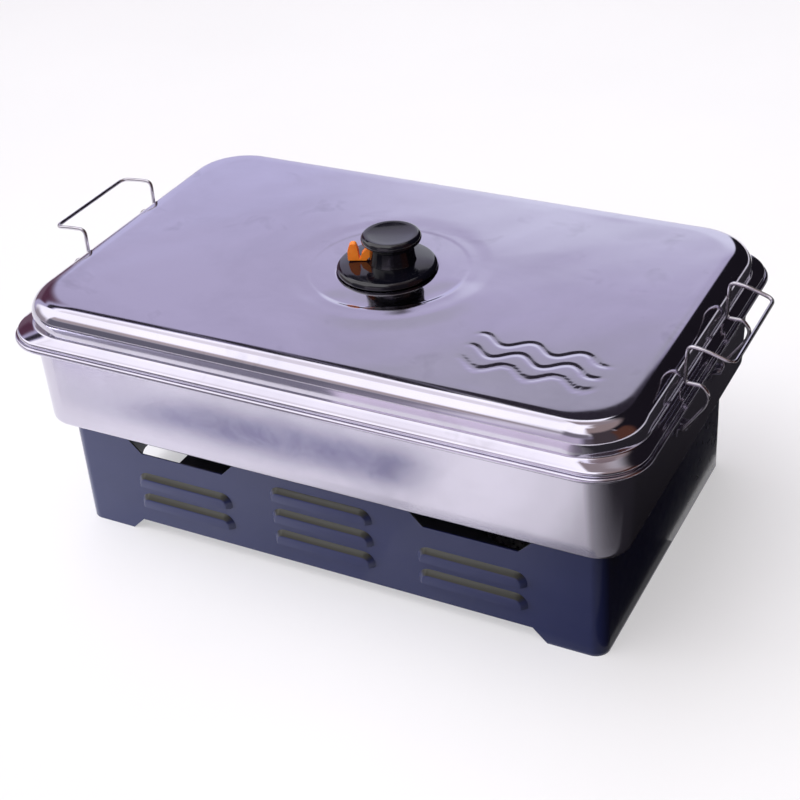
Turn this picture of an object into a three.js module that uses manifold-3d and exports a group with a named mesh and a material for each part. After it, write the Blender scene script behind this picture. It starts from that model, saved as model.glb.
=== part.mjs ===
// A portable two-burner hot smoker box: a louvred sheet-steel stand holds two spirit
// burners under a pressed stainless pan, with a drip tray, a wire rack, a lid with a
// vented knob, and two wire bails that clip over the lid and serve as handles.
// Millimetres, +Z up. The origin is on the floor under the middle of the stand,
// +X runs along the long side and -Y is the front.

import * as THREE from 'three';
import { mergeVertices, mergeGeometries } from 'three/addons/utils/BufferGeometryUtils.js';
import Module from 'manifold-3d';

const manifold = await Module();
manifold.setup();

// ---------------------------------------------------------------- driving dimensions

const GAP = 0.3;                 // clearance between separate pieces that rest on each other
const SHEET = 0.8;               // pressed stainless sheet
const STAND_SHEET = 1.0;         // painted steel sheet of the stand
const CORNER_STEPS = 3;          // half the number of facets in a pressed corner
const ROUND = 24;                // facets round a turned part
const FINE_ROUND = 40;           // facets round the knob and the dish it stands in
const WIRE_FACETS = 8;           // facets round a bent wire
const WIRE_STEPS = 3;            // straight steps in each bend of a wire
const BAR_FACETS = 6;            // facets round the rack's straight wires

const STAND = { length: 378, width: 222, radius: 9.5, height: 82 };
const FOOT_CUT = { height: 9.4, foot: 37 };           // apron between the feet
const NOTCH = { centre: 103.2, half: 31.2, depth: 16.7 };
const END_CUT = { half: 47, height: 12.5, radius: 5 };
const LOUVRE = { length: 73, height: 10, radius: 8, stand_off: 3.4, pitch: 16.8 };
const LOUVRE_LOW = 23.6;         // height of the lowest louvre's lip
const LOUVRE_GROUPS = [{ x: -103.5, rows: 2 }, { x: 0, rows: 3 }, { x: 103.5, rows: 2 }];

const PAN_FLOOR = STAND.height + GAP;
const PAN_TOP = { length: 408.2, width: 250, radius: 24 };
const PAN_BASE = { length: 404.4, width: 246.2, radius: 20 };
const PAN_FILLET = 4.7;
const RIM = { length: 429.6, width: 276.3, radius: 33.5 };
const RIM_BEAD = 1.7;            // radius of the rolled edge
const RIM_LEVEL = 149.8;         // top of the pan's flange

const LID_LEVEL = 173.2;         // top of the lid
const LID_CREASE = { length: 395.1, width: 237.3, radius: 31 };
const LID_BODY = { length: 415.1, width: 257.3, radius: 37 };
const LID_FOLD = { length: 417.3, width: 260.2, radius: 35 };
const LID_EDGE = { length: 425.5, width: 272.2, radius: 31.5 };
const LID_FOLD_LEVEL = 156.1;    // where the wall turns out into the flange
const LID_EDGE_LEVEL = 152.5;    // outer edge of the sloping flange
const LID_FILLET = 10;
const DISH = { inner: 50, outer: 60, depth: 1.8 };    // sunk disc round the knob

const KNOB_AXIS = { x: 2.3, y: 1.3 };                 // screw, stem and vent turn about it
const FLANGE_AXIS = { x: -1.0, y: -0.6 };
const DISH_LEVEL = LID_LEVEL - DISH.depth;
const KNOB_BASE_LEVEL = DISH_LEVEL + GAP;
const KNOB_BASE = { radius: 32.2, height: 6.8, hollow: 24, hollow_height: 3.4, mouth: 10.4 };
const STEM = { radius: 14.5, bore: 10.2, post: 4.8, insert: 3.4 };
const STEM_LEVEL = KNOB_BASE_LEVEL + KNOB_BASE.height + GAP;
const CAP = { radius: 18.8, under: 191.8, top: 197.4 };
const LEVER_ANGLE = 201 * Math.PI / 180;              // where the lever points at rest
const VENT_TURN = Math.PI / 3;
const VENT = { holes: 3, radius: 3.6, circle: 14, shutter: 19.5 };

const TRAY = { length: 352, width: 200, radius: 14, rise: 8, foot: 8 };
const RACK = { length: 388, width: 230, radius: 20, level: 118 };
const RACK_WIRE = 1.5;
const RACK_BAR = 1.1;
const RACK_BARS = 17;
const RACK_LEG = { half: 70, bend: 6 };

const BAIL_WIRE = 1.25;          // radius of the bail's wire
const BAIL_HALF = 39;            // from the middle to a bail's arm
const BAIL_PIVOT = { x: 208.5, z: 124.5 };
const LUG = { eye: 2.9, bore: 1.55, width: 6, y: 32.5, plate: 16 };

const BURNER_X = 95;
const BURNER = { radius: 36, height: 22, sheet: 0.8, mouth: 22, skirt: 8 };
const BURNER_LID = { radius: 27, height: 4, sheet: 0.8, tab: 46, tab_half: 6 };

// ---------------------------------------------------------------- materials

const finish = (color, roughness, metalness) =>
  new THREE.MeshStandardMaterial({ color, roughness, metalness });

const stainless = () => finish(0xb6b2c6, 0.16, 1);
const brightWire = () => finish(0xc9c6cf, 0.22, 1);
const darkPaint = () => finish(0x33364f, 0.35, 0.1);
const blackPlastic = () => finish(0x101014, 0.15, 0);
const orangePlastic = () => finish(0xf07a1e, 0.3, 0);
const tinnedSteel = () => finish(0xa9a9a6, 0.35, 1);
const brass = () => finish(0xb89a50, 0.35, 1);
const wool = () => finish(0xe6e2d6, 0.95, 0);
const gauze = () => finish(0x8f8f8c, 0.45, 1);

// ---------------------------------------------------------------- geometry helpers

function bare(geometry) {
  const copy = geometry.clone();
  copy.deleteAttribute('normal');
  copy.deleteAttribute('uv');
  return mergeVertices(copy, 1e-4);
}

function solidOf(geometry) {
  const merged = bare(geometry);
  const vertProperties = new Float32Array(merged.attributes.position.array);
  const triVerts = new Uint32Array(merged.index.array);
  return new manifold.Manifold(new manifold.Mesh({ numProp: 3, vertProperties, triVerts }));
}

function geometryOf(solid) {
  const mesh = solid.getMesh();
  const geometry = new THREE.BufferGeometry();
  geometry.setAttribute('position', new THREE.Float32BufferAttribute(mesh.vertProperties, 3));
  geometry.setIndex(new THREE.Uint32BufferAttribute(mesh.triVerts, 1));
  return geometry;
}

// Joins the first list of geometries into one body and cuts the second list out of it.
function carve(added, removed = []) {
  let solid = added.map(solidOf).reduce((all, next) => all.add(next));
  for (const tool of removed) {
    solid = solid.subtract(solidOf(tool));
  }
  return geometryOf(solid);
}

// A closed skin through rings that all have the same number of points. The first and
// last ring are capped, unless the rings close on themselves like the turns of a tube.
function skin(rings, closed = false) {
  const count = rings[0].length;
  const positions = rings.flat().flatMap((p) => [p.x, p.y, p.z]);
  const index = [];
  const joints = closed ? rings.length : rings.length - 1;
  for (let r = 0; r < joints; r += 1) {
    const low = r * count;
    const high = ((r + 1) % rings.length) * count;
    for (let i = 0; i < count; i += 1) {
      const j = (i + 1) % count;
      index.push(low + i, low + j, high + j, low + i, high + j, high + i);
    }
  }
  const cap = (start, forward) => {
    for (let i = 1; i < count - 1; i += 1) {
      const [a, b] = forward ? [i, i + 1] : [i + 1, i];
      index.push(start, start + a, start + b);
    }
  };
  if (!closed) {
    cap(0, false);
    cap((rings.length - 1) * count, true);
  }
  const geometry = new THREE.BufferGeometry();
  geometry.setAttribute('position', new THREE.Float32BufferAttribute(positions, 3));
  geometry.setIndex(index);
  return geometry;
}

function rectangleShape({ length, width, radius }) {
  const x = length / 2 - radius;
  const y = width / 2 - radius;
  const shape = new THREE.Shape();
  shape.absarc(x, y, radius, 0, Math.PI / 2);
  shape.absarc(-x, y, radius, Math.PI / 2, Math.PI);
  shape.absarc(-x, -y, radius, Math.PI, 1.5 * Math.PI);
  shape.absarc(x, -y, radius, 1.5 * Math.PI, 2 * Math.PI);
  return shape;
}

function rectangleRing(size, z) {
  const points = rectangleShape(size).getPoints(CORNER_STEPS);
  const last = points[points.length - 1];
  const kept = last.distanceTo(points[0]) < 1e-6 ? points.slice(0, -1) : points;
  return kept.map((p) => new THREE.Vector3(p.x, p.y, z));
}

const grown = (size, by) => ({
  length: size.length + 2 * by,
  width: size.width + 2 * by,
  radius: Math.max(size.radius + by, 1),
});

const between = (a, b, t) => ({
  length: THREE.MathUtils.lerp(a.length, b.length, t),
  width: THREE.MathUtils.lerp(a.width, b.width, t),
  radius: THREE.MathUtils.lerp(a.radius, b.radius, t),
});

// A pressed tray or lid: each step of the profile is a rounded rectangle and a height.
const pressed = (profile) => skin(profile.map(([size, z]) => rectangleRing(size, z)));

const range = (count, make) => Array.from({ length: count }, (unused, i) => make(i));

function turned(profile, axis = { x: 0, y: 0 }, facets = ROUND) {
  const points = profile.map(([r, z]) => new THREE.Vector2(r, z));
  const geometry = new THREE.LatheGeometry(points, facets);
  geometry.rotateX(Math.PI / 2);
  geometry.translate(axis.x, axis.y, 0);
  return geometry;
}

const rod = (radius, low, high, axis = { x: 0, y: 0 }, facets = ROUND) =>
  turned([[0, low], [radius, low], [radius, high], [0, high]], axis, facets);

function box(low, high) {
  const size = high.map((v, i) => v - low[i]);
  const geometry = new THREE.BoxGeometry(...size);
  geometry.translate(...low.map((v, i) => (v + high[i]) / 2));
  return geometry;
}

// Extrudes an outline drawn in X and Z along Y, centred on y = middle.
function upright(shape, depth, middle = 0, steps = CORNER_STEPS) {
  const options = { depth, bevelEnabled: false, curveSegments: 2 * steps };
  const geometry = new THREE.ExtrudeGeometry(shape, options);
  geometry.rotateX(Math.PI / 2);
  geometry.translate(0, middle + depth / 2, 0);
  return geometry;
}

const polygon = (points) => new THREE.Shape(points.map(([x, y]) => new THREE.Vector2(x, y)));

// The line of a wire through a list of points, with each corner rounded by its own bend.
function wireLine(points, bends) {
  const path = new THREE.CurvePath();
  let from = points[0];
  for (let i = 1; i < points.length - 1; i += 1) {
    const into = points[i].clone().sub(points[i - 1]).setLength(bends[i - 1]);
    const out = points[i + 1].clone().sub(points[i]).setLength(bends[i - 1]);
    const start = points[i].clone().sub(into);
    const end = points[i].clone().add(out);
    path.add(new THREE.LineCurve3(from, start));
    path.add(new THREE.QuadraticBezierCurve3(start, points[i], end));
    from = end;
  }
  path.add(new THREE.LineCurve3(from, points[points.length - 1]));
  return path.getPoints(WIRE_STEPS);
}

// A round wire whose section is carried along its line without twisting.
function bentWire(points, bends, radius) {
  const line = wireLine(points, bends);
  const along = line[1].clone().sub(line[0]).normalize();
  let side = new THREE.Vector3(along.z, along.x, along.y).cross(along).normalize();
  const rings = line.map((point, i) => {
    const before = line[Math.max(i - 1, 0)];
    const after = line[Math.min(i + 1, line.length - 1)];
    const tangent = after.clone().sub(before).normalize();
    side = side.projectOnPlane(tangent).normalize();
    const up = tangent.clone().cross(side);
    return range(WIRE_FACETS, (k) => {
      const angle = (k / WIRE_FACETS) * 2 * Math.PI;
      return point.clone()
        .addScaledVector(side, radius * Math.cos(angle))
        .addScaledVector(up, radius * Math.sin(angle));
    });
  });
  return skin(rings);
}

function named(name, geometry, material) {
  const mesh = new THREE.Mesh(bare(geometry), material);
  mesh.name = name;
  return mesh;
}

// ---------------------------------------------------------------- the stand

// Outline of a louvre: a straight lip at the bottom and rounded shoulders above it.
function louvreOutline(inset, drop) {
  const half = LOUVRE.length / 2 - inset;
  const top = LOUVRE.height - inset;
  const radius = LOUVRE.radius - inset;
  const shape = new THREE.Shape();
  shape.moveTo(-half, -drop);
  shape.lineTo(half, -drop);
  shape.absarc(half - radius, top - radius, radius, 0, Math.PI / 2);
  shape.absarc(-half + radius, top - radius, radius, Math.PI / 2, Math.PI);
  return shape.getPoints(2);
}

const louvreRing = (inset, drop, y) =>
  louvreOutline(inset, drop).map((p) => new THREE.Vector3(p.x, y, p.y));

function louvreHood() {
  const face = -STAND.width / 2;
  return skin([
    louvreRing(0, 0, face + STAND_SHEET / 2),
    louvreRing(0, 0, face),
    louvreRing(LOUVRE.stand_off, 0, face - LOUVRE.stand_off),
  ]);
}

function louvreHollow() {
  const face = -STAND.width / 2;
  const reach = LOUVRE.stand_off - SHEET;
  const hole = skin([louvreRing(SHEET, 0, face + 2 * STAND_SHEET), louvreRing(SHEET, 0, face)]);
  const under = skin([
    louvreRing(SHEET, 1, face),
    louvreRing(SHEET + reach, 1, face - reach),
  ]);
  return [hole, under];
}

function louvrePlaces() {
  const places = [];
  for (const side of [0, Math.PI]) {
    for (const group of LOUVRE_GROUPS) {
      for (let row = 0; row < group.rows; row += 1) {
        const z = LOUVRE_LOW + row * LOUVRE.pitch;
        const move = new THREE.Matrix4().makeTranslation(group.x, 0, z);
        places.push(new THREE.Matrix4().makeRotationZ(side).multiply(move));
      }
    }
  }
  return places;
}

const trapezoid = (centre, half, low, high) => polygon([
  [centre - half, low],
  [centre + half, low],
  [centre + half + high - low, high],
  [centre - half - high + low, high],
]);

function standCuts() {
  const through = 2 * STAND.width;
  const notchLow = STAND.height - NOTCH.depth;
  const above = STAND.height + 1;
  const notches = [-NOTCH.centre, NOTCH.centre].map((x) =>
    upright(trapezoid(x, NOTCH.half, notchLow, above), through));
  const apron = STAND.length / 2 - FOOT_CUT.foot;
  const feet = polygon([
    [-apron - 1, -1],
    [apron + 1, -1],
    [apron - FOOT_CUT.height, FOOT_CUT.height],
    [-apron + FOOT_CUT.height, FOOT_CUT.height],
  ]);
  const side = rectangleShape({
    length: 2 * END_CUT.half,
    width: 2 * END_CUT.height,
    radius: END_CUT.radius,
  });
  const arch = upright(side, 4 * STAND_SHEET, 0, 2);
  arch.rotateZ(Math.PI / 2);
  arch.translate(-STAND.length / 2, 0, 0);
  return [...notches, upright(feet, through), arch];
}

function standShell() {
  const outline = rectangleShape(STAND);
  outline.holes.push(rectangleShape(grown(STAND, -STAND_SHEET)));
  const options = { depth: STAND.height, bevelEnabled: false, curveSegments: 2 * CORNER_STEPS };
  const band = new THREE.ExtrudeGeometry(outline, options);
  const hoods = [];
  const hollows = [];
  for (const place of louvrePlaces()) {
    hoods.push(louvreHood().applyMatrix4(place));
    hollows.push(...louvreHollow().map((part) => part.applyMatrix4(place)));
  }
  return carve([band, ...hoods], [...hollows, ...standCuts()]);
}

// ---------------------------------------------------------------- the pan

// Rounds the corner between a floor and a wall, from flat to upright.
function filletSteps(size, floor, radius, steps) {
  return range(steps + 1, (i) => {
    const angle = (i / steps) * Math.PI / 2;
    return [grown(size, -radius * (1 - Math.sin(angle))), floor + radius * (1 - Math.cos(angle))];
  });
}

function panProfile() {
  const lift = RIM_LEVEL - SHEET;
  const outside = filletSteps(PAN_BASE, PAN_FLOOR, PAN_FILLET, 4);
  const beadLevel = RIM_LEVEL - RIM_BEAD;
  const bead = range(9, (i) => {
    const angle = (i / 8 - 0.75) * Math.PI * 1.25;
    return [
      grown(RIM, RIM_BEAD * (Math.cos(angle) - 1)),
      beadLevel + RIM_BEAD * Math.sin(angle),
    ];
  });
  const inner = grown(PAN_TOP, -SHEET);
  const floor = filletSteps(grown(PAN_BASE, -SHEET), PAN_FLOOR + SHEET, PAN_FILLET - SHEET, 4);
  return [
    ...outside,
    [PAN_TOP, lift - 1.2],
    [grown(PAN_TOP, 0.4), lift - 0.3],
    [grown(PAN_TOP, 1.4), lift],
    [grown(RIM, -2 * RIM_BEAD), lift],
    ...bead,
    [grown(RIM, -2 * RIM_BEAD), RIM_LEVEL],
    [grown(inner, 2), RIM_LEVEL],
    [grown(inner, 0.5), RIM_LEVEL - 0.5],
    [inner, RIM_LEVEL - 2],
    ...floor.reverse(),
  ];
}

// A hinge lug welded to the pan's end wall: a plate, a neck and an eye for the bail's wire.
function bailLug(side, front) {
  const wall = PAN_TOP.length / 2;
  const { x, z } = BAIL_PIVOT;
  const low = front * LUG.y - LUG.width / 2;
  const high = front * LUG.y + LUG.width / 2;
  const half = LUG.plate / 2;
  const plate = box([wall - 0.2, low, z - half], [wall + SHEET, high, z + half]);
  const neck = box([wall, low, z - 1], [x - 2, high, z + 1]);
  const eye = new THREE.CylinderGeometry(LUG.eye, LUG.eye, LUG.width, 16);
  eye.translate(x, front * LUG.y, z);
  const bore = new THREE.CylinderGeometry(LUG.bore, LUG.bore, 2 * LUG.width, 16);
  bore.translate(x, front * LUG.y, z);
  const lug = carve([plate, neck, eye], [bore]);
  return side > 0 ? lug : geometryOf(solidOf(lug).mirror([1, 0, 0]));
}

// ---------------------------------------------------------------- drip tray and rack

function dripTray() {
  const base = PAN_FLOOR + SHEET + GAP + TRAY.foot;
  const top = base + TRAY.rise;
  const sheet = SHEET * 0.75;
  const lip = grown(TRAY, 4);
  const shell = pressed([
    [grown(TRAY, -3), base],
    [TRAY, base + 3],
    [grown(TRAY, 1), top - sheet],
    [lip, top - sheet],
    [lip, top],
    [grown(TRAY, 1 - sheet), top],
    [grown(TRAY, -sheet), base + 3],
    [grown(TRAY, -3 - sheet / 2), base + sheet],
  ]);
  const feet = [];
  const dimples = [];
  for (const x of [-1, 1]) {
    for (const y of [-1, 1]) {
      const axis = { x: x * (TRAY.length / 2 - 30), y: y * (TRAY.width / 2 - 28) };
      const low = base - TRAY.foot;
      feet.push(turned([[0, low], [7, low], [10, base + sheet / 2], [0, base + sheet / 2]],
        axis, 16));
      dimples.push(turned([[0, low + sheet], [6.3, low + sheet], [9.6, base + 1], [0, base + 1]],
        axis, 16));
    }
  }
  return carve([shell, ...feet], dimples);
}

function rackGrid() {
  const { length, width, level } = RACK;
  const frame = skin(range(BAR_FACETS, (i) => {
    const angle = (i / BAR_FACETS) * 2 * Math.PI;
    const size = grown(RACK, RACK_WIRE * Math.cos(angle));
    return rectangleRing(size, level + RACK_WIRE * Math.sin(angle));
  }), true);
  const pieces = [frame];
  const across = (radius, reach, x, y, z, turn) => {
    const bar = new THREE.CylinderGeometry(radius, radius, reach, BAR_FACETS);
    bar.rotateZ(turn);
    bar.translate(x, y, z);
    pieces.push(bar);
  };
  for (let i = 0; i < RACK_BARS; i += 1) {
    const x = (i / (RACK_BARS - 1) - 0.5) * (length - 44);
    across(RACK_BAR, width, x, 0, level + 0.9, 0);
  }
  for (const y of [-width / 5, width / 5]) {
    across(RACK_WIRE, length, 0, y, level - 0.9, Math.PI / 2);
  }
  return carve(pieces);
}

// A leg bent from one wire, welded by its ends under the rack's end wire.
function rackLeg(side) {
  const at = (y, z) => new THREE.Vector3(side * RACK.length / 2, y, z);
  const foot = PAN_FLOOR + SHEET + GAP + RACK_WIRE;
  const top = RACK.level - RACK_WIRE - GAP;
  const { half, bend } = RACK_LEG;
  const line = [at(-half, top), at(-half, foot), at(half, foot), at(half, top)];
  return bentWire(line, [bend, bend], RACK_WIRE);
}

// ---------------------------------------------------------------- the lid

function lidProfile() {
  const arc = (crease, body, top, radius) => range(5, (i) => {
    const angle = (i / 4) * Math.PI / 2;
    return [between(crease, body, Math.sin(angle)), top - radius * (1 - Math.cos(angle))];
  });
  const under = LID_LEVEL - SHEET;
  const lip = RIM_LEVEL + GAP;
  const inside = arc(LID_CREASE, grown(LID_BODY, -SHEET), under, LID_FILLET - SHEET);
  const outside = arc(LID_CREASE, LID_BODY, LID_LEVEL, LID_FILLET);
  return [
    ...inside,
    [grown(LID_BODY, -SHEET), LID_FOLD_LEVEL + 1],
    [grown(LID_FOLD, -SHEET / 2), LID_FOLD_LEVEL - SHEET],
    [grown(LID_EDGE, -1.4), LID_EDGE_LEVEL - SHEET],
    [grown(LID_EDGE, -SHEET), LID_EDGE_LEVEL - 1.3],
    [grown(LID_EDGE, -SHEET), lip],
    [LID_EDGE, lip],
    [LID_EDGE, LID_EDGE_LEVEL - 1],
    [grown(LID_EDGE, -0.4), LID_EDGE_LEVEL - 0.2],
    [grown(LID_EDGE, -1.4), LID_EDGE_LEVEL + 0.2],
    [LID_FOLD, LID_FOLD_LEVEL],
    [grown(LID_BODY, 0.3), LID_FOLD_LEVEL + 1],
    [LID_BODY, LID_FOLD_LEVEL + 2.2],
    ...outside.reverse(),
  ];
}

const about = (axis, radius, angle) => ({
  x: axis.x + radius * Math.cos(angle),
  y: axis.y + radius * Math.sin(angle),
});

// The vent holes stand clear of the lever, so that its shutter closes them when it turns.
const ventPlaces = () => range(VENT.holes, (i) =>
  about(KNOB_AXIS, VENT.circle, LEVER_ANGLE + (i + 0.5) * 2 * Math.PI / VENT.holes));

function lidShell() {
  const shell = pressed(lidProfile());
  const { inner, outer, depth } = DISH;
  const dish = turned(
    [[0, LID_LEVEL - depth], [inner, LID_LEVEL - depth], [outer, LID_LEVEL],
      [outer, LID_LEVEL + 1], [0, LID_LEVEL + 1]], undefined, FINE_ROUND);
  const under = LID_LEVEL - SHEET;
  const bulge = turned(
    [[0, under - depth], [inner, under - depth], [outer, under], [outer, under + 0.3],
      [0, under + 0.3]], undefined, FINE_ROUND);
  const low = under - depth - 1;
  const high = LID_LEVEL + 1;
  const screwHole = rod(2.4, low, high, KNOB_AXIS, 16);
  const vents = ventPlaces().map((axis) => rod(VENT.radius, low, high, axis, 16));
  return carve([shell, bulge], [dish, screwHole, ...vents]);
}

// ---------------------------------------------------------------- knob and vent

function knobBase() {
  const low = KNOB_BASE_LEVEL;
  const { radius, height, hollow, mouth } = KNOB_BASE;
  const dome = turned([
    [0, low], [radius - 1, low], [radius - 0.1, low + 0.9], [radius, low + 2],
    [radius - 0.5, low + 3.6], [radius - 1.7, low + 5.2], [radius - 3.6, low + 6.2],
    [radius - 6, low + 6.6], [STEM.radius, low + height], [0, low + height],
  ], FLANGE_AXIS, FINE_ROUND);
  const cavity = rod(hollow, low - 1, low + KNOB_BASE.hollow_height, KNOB_AXIS);
  return carve([dome], [cavity, rod(mouth, low - 1, low + height + 1, KNOB_AXIS)]);
}

function leverWindow() {
  const margin = 0.26;
  const from = LEVER_ANGLE - VENT_TURN - margin;
  const to = LEVER_ANGLE + margin;
  const sector = new THREE.Shape();
  sector.absarc(0, 0, STEM.radius + 4, from, to);
  sector.absarc(0, 0, STEM.bore - 1, to, from, true);
  const cutter = new THREE.ExtrudeGeometry(sector, { depth: 6, bevelEnabled: false });
  cutter.translate(KNOB_AXIS.x, KNOB_AXIS.y, 182.6);
  return cutter;
}

function knobGrip() {
  const { radius, bore, post } = STEM;
  const { under, top } = CAP;
  const foot = KNOB_BASE_LEVEL;
  const outside = turned([
    [0, foot], [post, foot], [post, under - 2], [bore, under - 2], [bore, STEM_LEVEL],
    [radius + 0.5, STEM_LEVEL], [radius, STEM_LEVEL + 3], [radius - 0.4, under - 3],
    [radius + 0.6, under - 0.8], [CAP.radius - 1.6, under], [CAP.radius - 0.3, under + 1.3],
    [CAP.radius, under + 2.8], [CAP.radius - 0.7, top - 0.9], [CAP.radius - 2.2, top],
    [CAP.radius / 2, top - 0.7], [0, top - 1],
  ], KNOB_AXIS);
  const socket = rod(STEM.insert + 0.3, foot - 1, foot + 12, KNOB_AXIS, 24);
  return carve([outside], [socket, leverWindow()]);
}

function knobInsert() {
  const low = KNOB_BASE_LEVEL + 0.3;
  const body = rod(STEM.insert, low, low + 11, KNOB_AXIS, 24);
  return carve([body], [rod(2.3, low - 1, low + 12, KNOB_AXIS, 24)]);
}

function knobWasher() {
  const top = DISH_LEVEL - SHEET - GAP;
  return carve([rod(8, top - 1, top, KNOB_AXIS)], [rod(2.4, top - 2, top + 1, KNOB_AXIS, 24)]);
}

function knobScrew() {
  const head = DISH_LEVEL - SHEET - 2 * GAP - 1;
  return turned([
    [0, head - 1.4], [1.4, head - 1.4], [1.4, head - 2.6], [3.2, head - 2.3], [4, head - 1.2],
    [4, head], [2, head], [2, KNOB_BASE_LEVEL + 10], [0, KNOB_BASE_LEVEL + 10],
  ], KNOB_AXIS, 24);
}

// The lever's sleeve turns on the knob's post. Its arm leaves the stem through the window
// and carries an upright finger tab that sweeps over the knob's base.
function ventLever() {
  const post = STEM.post + 0.4;
  const sleeve = carve(
    [rod(post + 2.3, KNOB_BASE_LEVEL + 0.3, 187.2)],
    [rod(post, KNOB_BASE_LEVEL - 1, 189)]);
  const over = STEM_LEVEL + 0.2;
  const outline = polygon([
    [post + 1, 183.6], [16.2, 183.6], [19.6, over], [28.4, over], [28.2, 186.5],
    [27.4, 190.4], [25.4, 192.2], [23.2, 192.1], [21.4, 190], [20.7, 185.2], [17.2, 187.2],
    [post + 1, 187.2],
  ]);
  const lever = carve([sleeve, upright(outline, 4.6)]);
  lever.rotateZ(LEVER_ANGLE);
  lever.translate(KNOB_AXIS.x, KNOB_AXIS.y, 0);
  return lever;
}

function ventShutter() {
  const low = KNOB_BASE_LEVEL + 0.1;
  const high = low + SHEET;
  const holes = ventPlaces().map((axis) => rod(VENT.radius, low - 1, high + 1, axis, 16));
  const hub = rod(STEM.post + 3, low - 1, high + 1, KNOB_AXIS);
  return carve([rod(VENT.shutter, low, high, KNOB_AXIS)], [...holes, hub]);
}

// ---------------------------------------------------------------- bails

// Half of a bail in X and Z, from the pivot up to the grip, with the bend at each corner.
const BAIL_SIDE = [
  { x: 0, z: 0, bend: 2.5 },          // eye in the lug
  { x: 15.4, z: 21.6, bend: 5 },      // out and up to clear the rolled rim
  { x: 14.2, z: 33.6, bend: 4.6 },    // round the rim's edge
  { x: 1.3, z: 33.9, bend: 2.2 },     // in over the lid's flange
  { x: 2.4, z: 57.4, bend: 4.6 },     // up along the lid's wall
  { x: 29.4, z: 54.0, bend: 4 },      // out again to the grip
];

function bail(side) {
  const at = (y, { x, z }) =>
    new THREE.Vector3(side * (BAIL_PIVOT.x + x), y, BAIL_PIVOT.z + z);
  const near = BAIL_SIDE.map((p) => at(-BAIL_HALF, p));
  const far = BAIL_SIDE.map((p) => at(BAIL_HALF, p)).reverse();
  const pin = BAIL_HALF - LUG.y + LUG.width / 2 + 1.5;
  const points = [
    at(-BAIL_HALF + pin, BAIL_SIDE[0]), ...near, ...far, at(BAIL_HALF - pin, BAIL_SIDE[0]),
  ];
  const bends = BAIL_SIDE.map((p) => p.bend);
  return bentWire(points, [...bends, ...bends.slice().reverse()], BAIL_WIRE);
}

// ---------------------------------------------------------------- burners

function burnerCup() {
  const { radius, height, sheet } = BURNER;
  return turned([
    [0, 0], [radius - 2, 0], [radius, 2], [radius, height], [radius - sheet, height],
    [radius - sheet, 2 + sheet / 2], [radius - 2 - sheet / 2, sheet], [0, sheet],
  ]);
}

function burnerWadding() {
  const radius = BURNER.radius - BURNER.sheet - 0.6;
  const low = BURNER.sheet + GAP;
  return turned([[0, low], [radius - 2, low], [radius, low + 2], [radius, 14], [0, 14.6]]);
}

function burnerGauze() {
  const radius = BURNER.radius - BURNER.sheet - 0.5;
  return turned([[0, 15.4], [radius, 15], [radius, 15.7], [0, 16.1]]);
}

function burnerCollar() {
  const { radius, height, sheet, mouth, skirt } = BURNER;
  const low = height + GAP;
  const outer = radius + GAP + sheet;
  return turned([
    [mouth, low], [outer - sheet, low], [outer - sheet, low - skirt], [outer, low - skirt],
    [outer, low + sheet / 2], [outer - sheet / 2, low + sheet], [mouth, low + sheet],
    [mouth, low],
  ]);
}

// A snuffer: a shallow cap over the burner's mouth with a flat tab to lift it by.
function burnerLid() {
  const { radius, height, sheet, tab, tab_half: half } = BURNER_LID;
  const low = BURNER.height + BURNER.sheet + 2 * GAP;
  const top = low + height;
  const cap = turned([
    [0, top - sheet], [radius - 1.5, top - sheet], [radius - sheet, top - 1.5],
    [radius - sheet, low], [radius, low], [radius, top - 1.2], [radius - 1.2, top], [0, top],
  ]);
  const strip = new THREE.Shape();
  strip.moveTo(radius - 8, -half);
  strip.absarc(tab - half, 0, half, -Math.PI / 2, Math.PI / 2);
  strip.lineTo(radius - 8, half);
  const handle = new THREE.ExtrudeGeometry(strip, { depth: 1, bevelEnabled: false });
  handle.translate(0, 0, top - 0.4);
  return carve([cap, handle]);
}

const BURNER_PARTS = [
  ['cup', burnerCup, tinnedSteel],
  ['wadding', burnerWadding, wool],
  ['gauze', burnerGauze, gauze],
  ['collar', burnerCollar, tinnedSteel],
  ['snuffer', burnerLid, stainless],
];

function burner(side, name) {
  const group = new THREE.Group();
  group.position.x = side * BURNER_X;
  group.rotation.z = side > 0 ? Math.PI : 0;
  for (const [part, shape, material] of BURNER_PARTS) {
    group.add(named(`burner_${name}_${part}`, shape(), material()));
  }
  return group;
}

// ---------------------------------------------------------------- the whole smoker

const SIDES = [[-1, 'left'], [1, 'right']];
const smoker = new THREE.Group();

smoker.add(named('stand_shell', standShell(), darkPaint()));
smoker.add(named('pan', pressed(panProfile()), stainless()));
for (const [side, name] of SIDES) {
  smoker.add(named(`bail_lug_${name}_front`, bailLug(side, -1), stainless()));
  smoker.add(named(`bail_lug_${name}_rear`, bailLug(side, 1), stainless()));
  smoker.add(named(`bail_${name}`, bail(side), brightWire()));
  smoker.add(named(`rack_leg_${name}`, rackLeg(side), brightWire()));
  smoker.add(burner(side, name));
}
smoker.add(named('drip_tray', dripTray(), stainless()));
smoker.add(named('rack_grid', rackGrid(), brightWire()));
smoker.add(named('lid', lidShell(), stainless()));
smoker.add(named('knob_base', knobBase(), blackPlastic()));
smoker.add(named('knob_grip', knobGrip(), blackPlastic()));
smoker.add(named('knob_insert', knobInsert(), brass()));
smoker.add(named('knob_washer', knobWasher(), stainless()));
smoker.add(named('knob_screw', knobScrew(), tinnedSteel()));
smoker.add(named('vent_lever', ventLever(), orangePlastic()));
smoker.add(named('vent_shutter', ventShutter(), stainless()));

export default smoker;
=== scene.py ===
# A portable two-burner hot smoker box: the looks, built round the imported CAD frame.
# Everything is in metres in the frame's own axes: +Z up, +X along the long side, -Y the front.

from math import cos, pi, radians, sin

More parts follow.
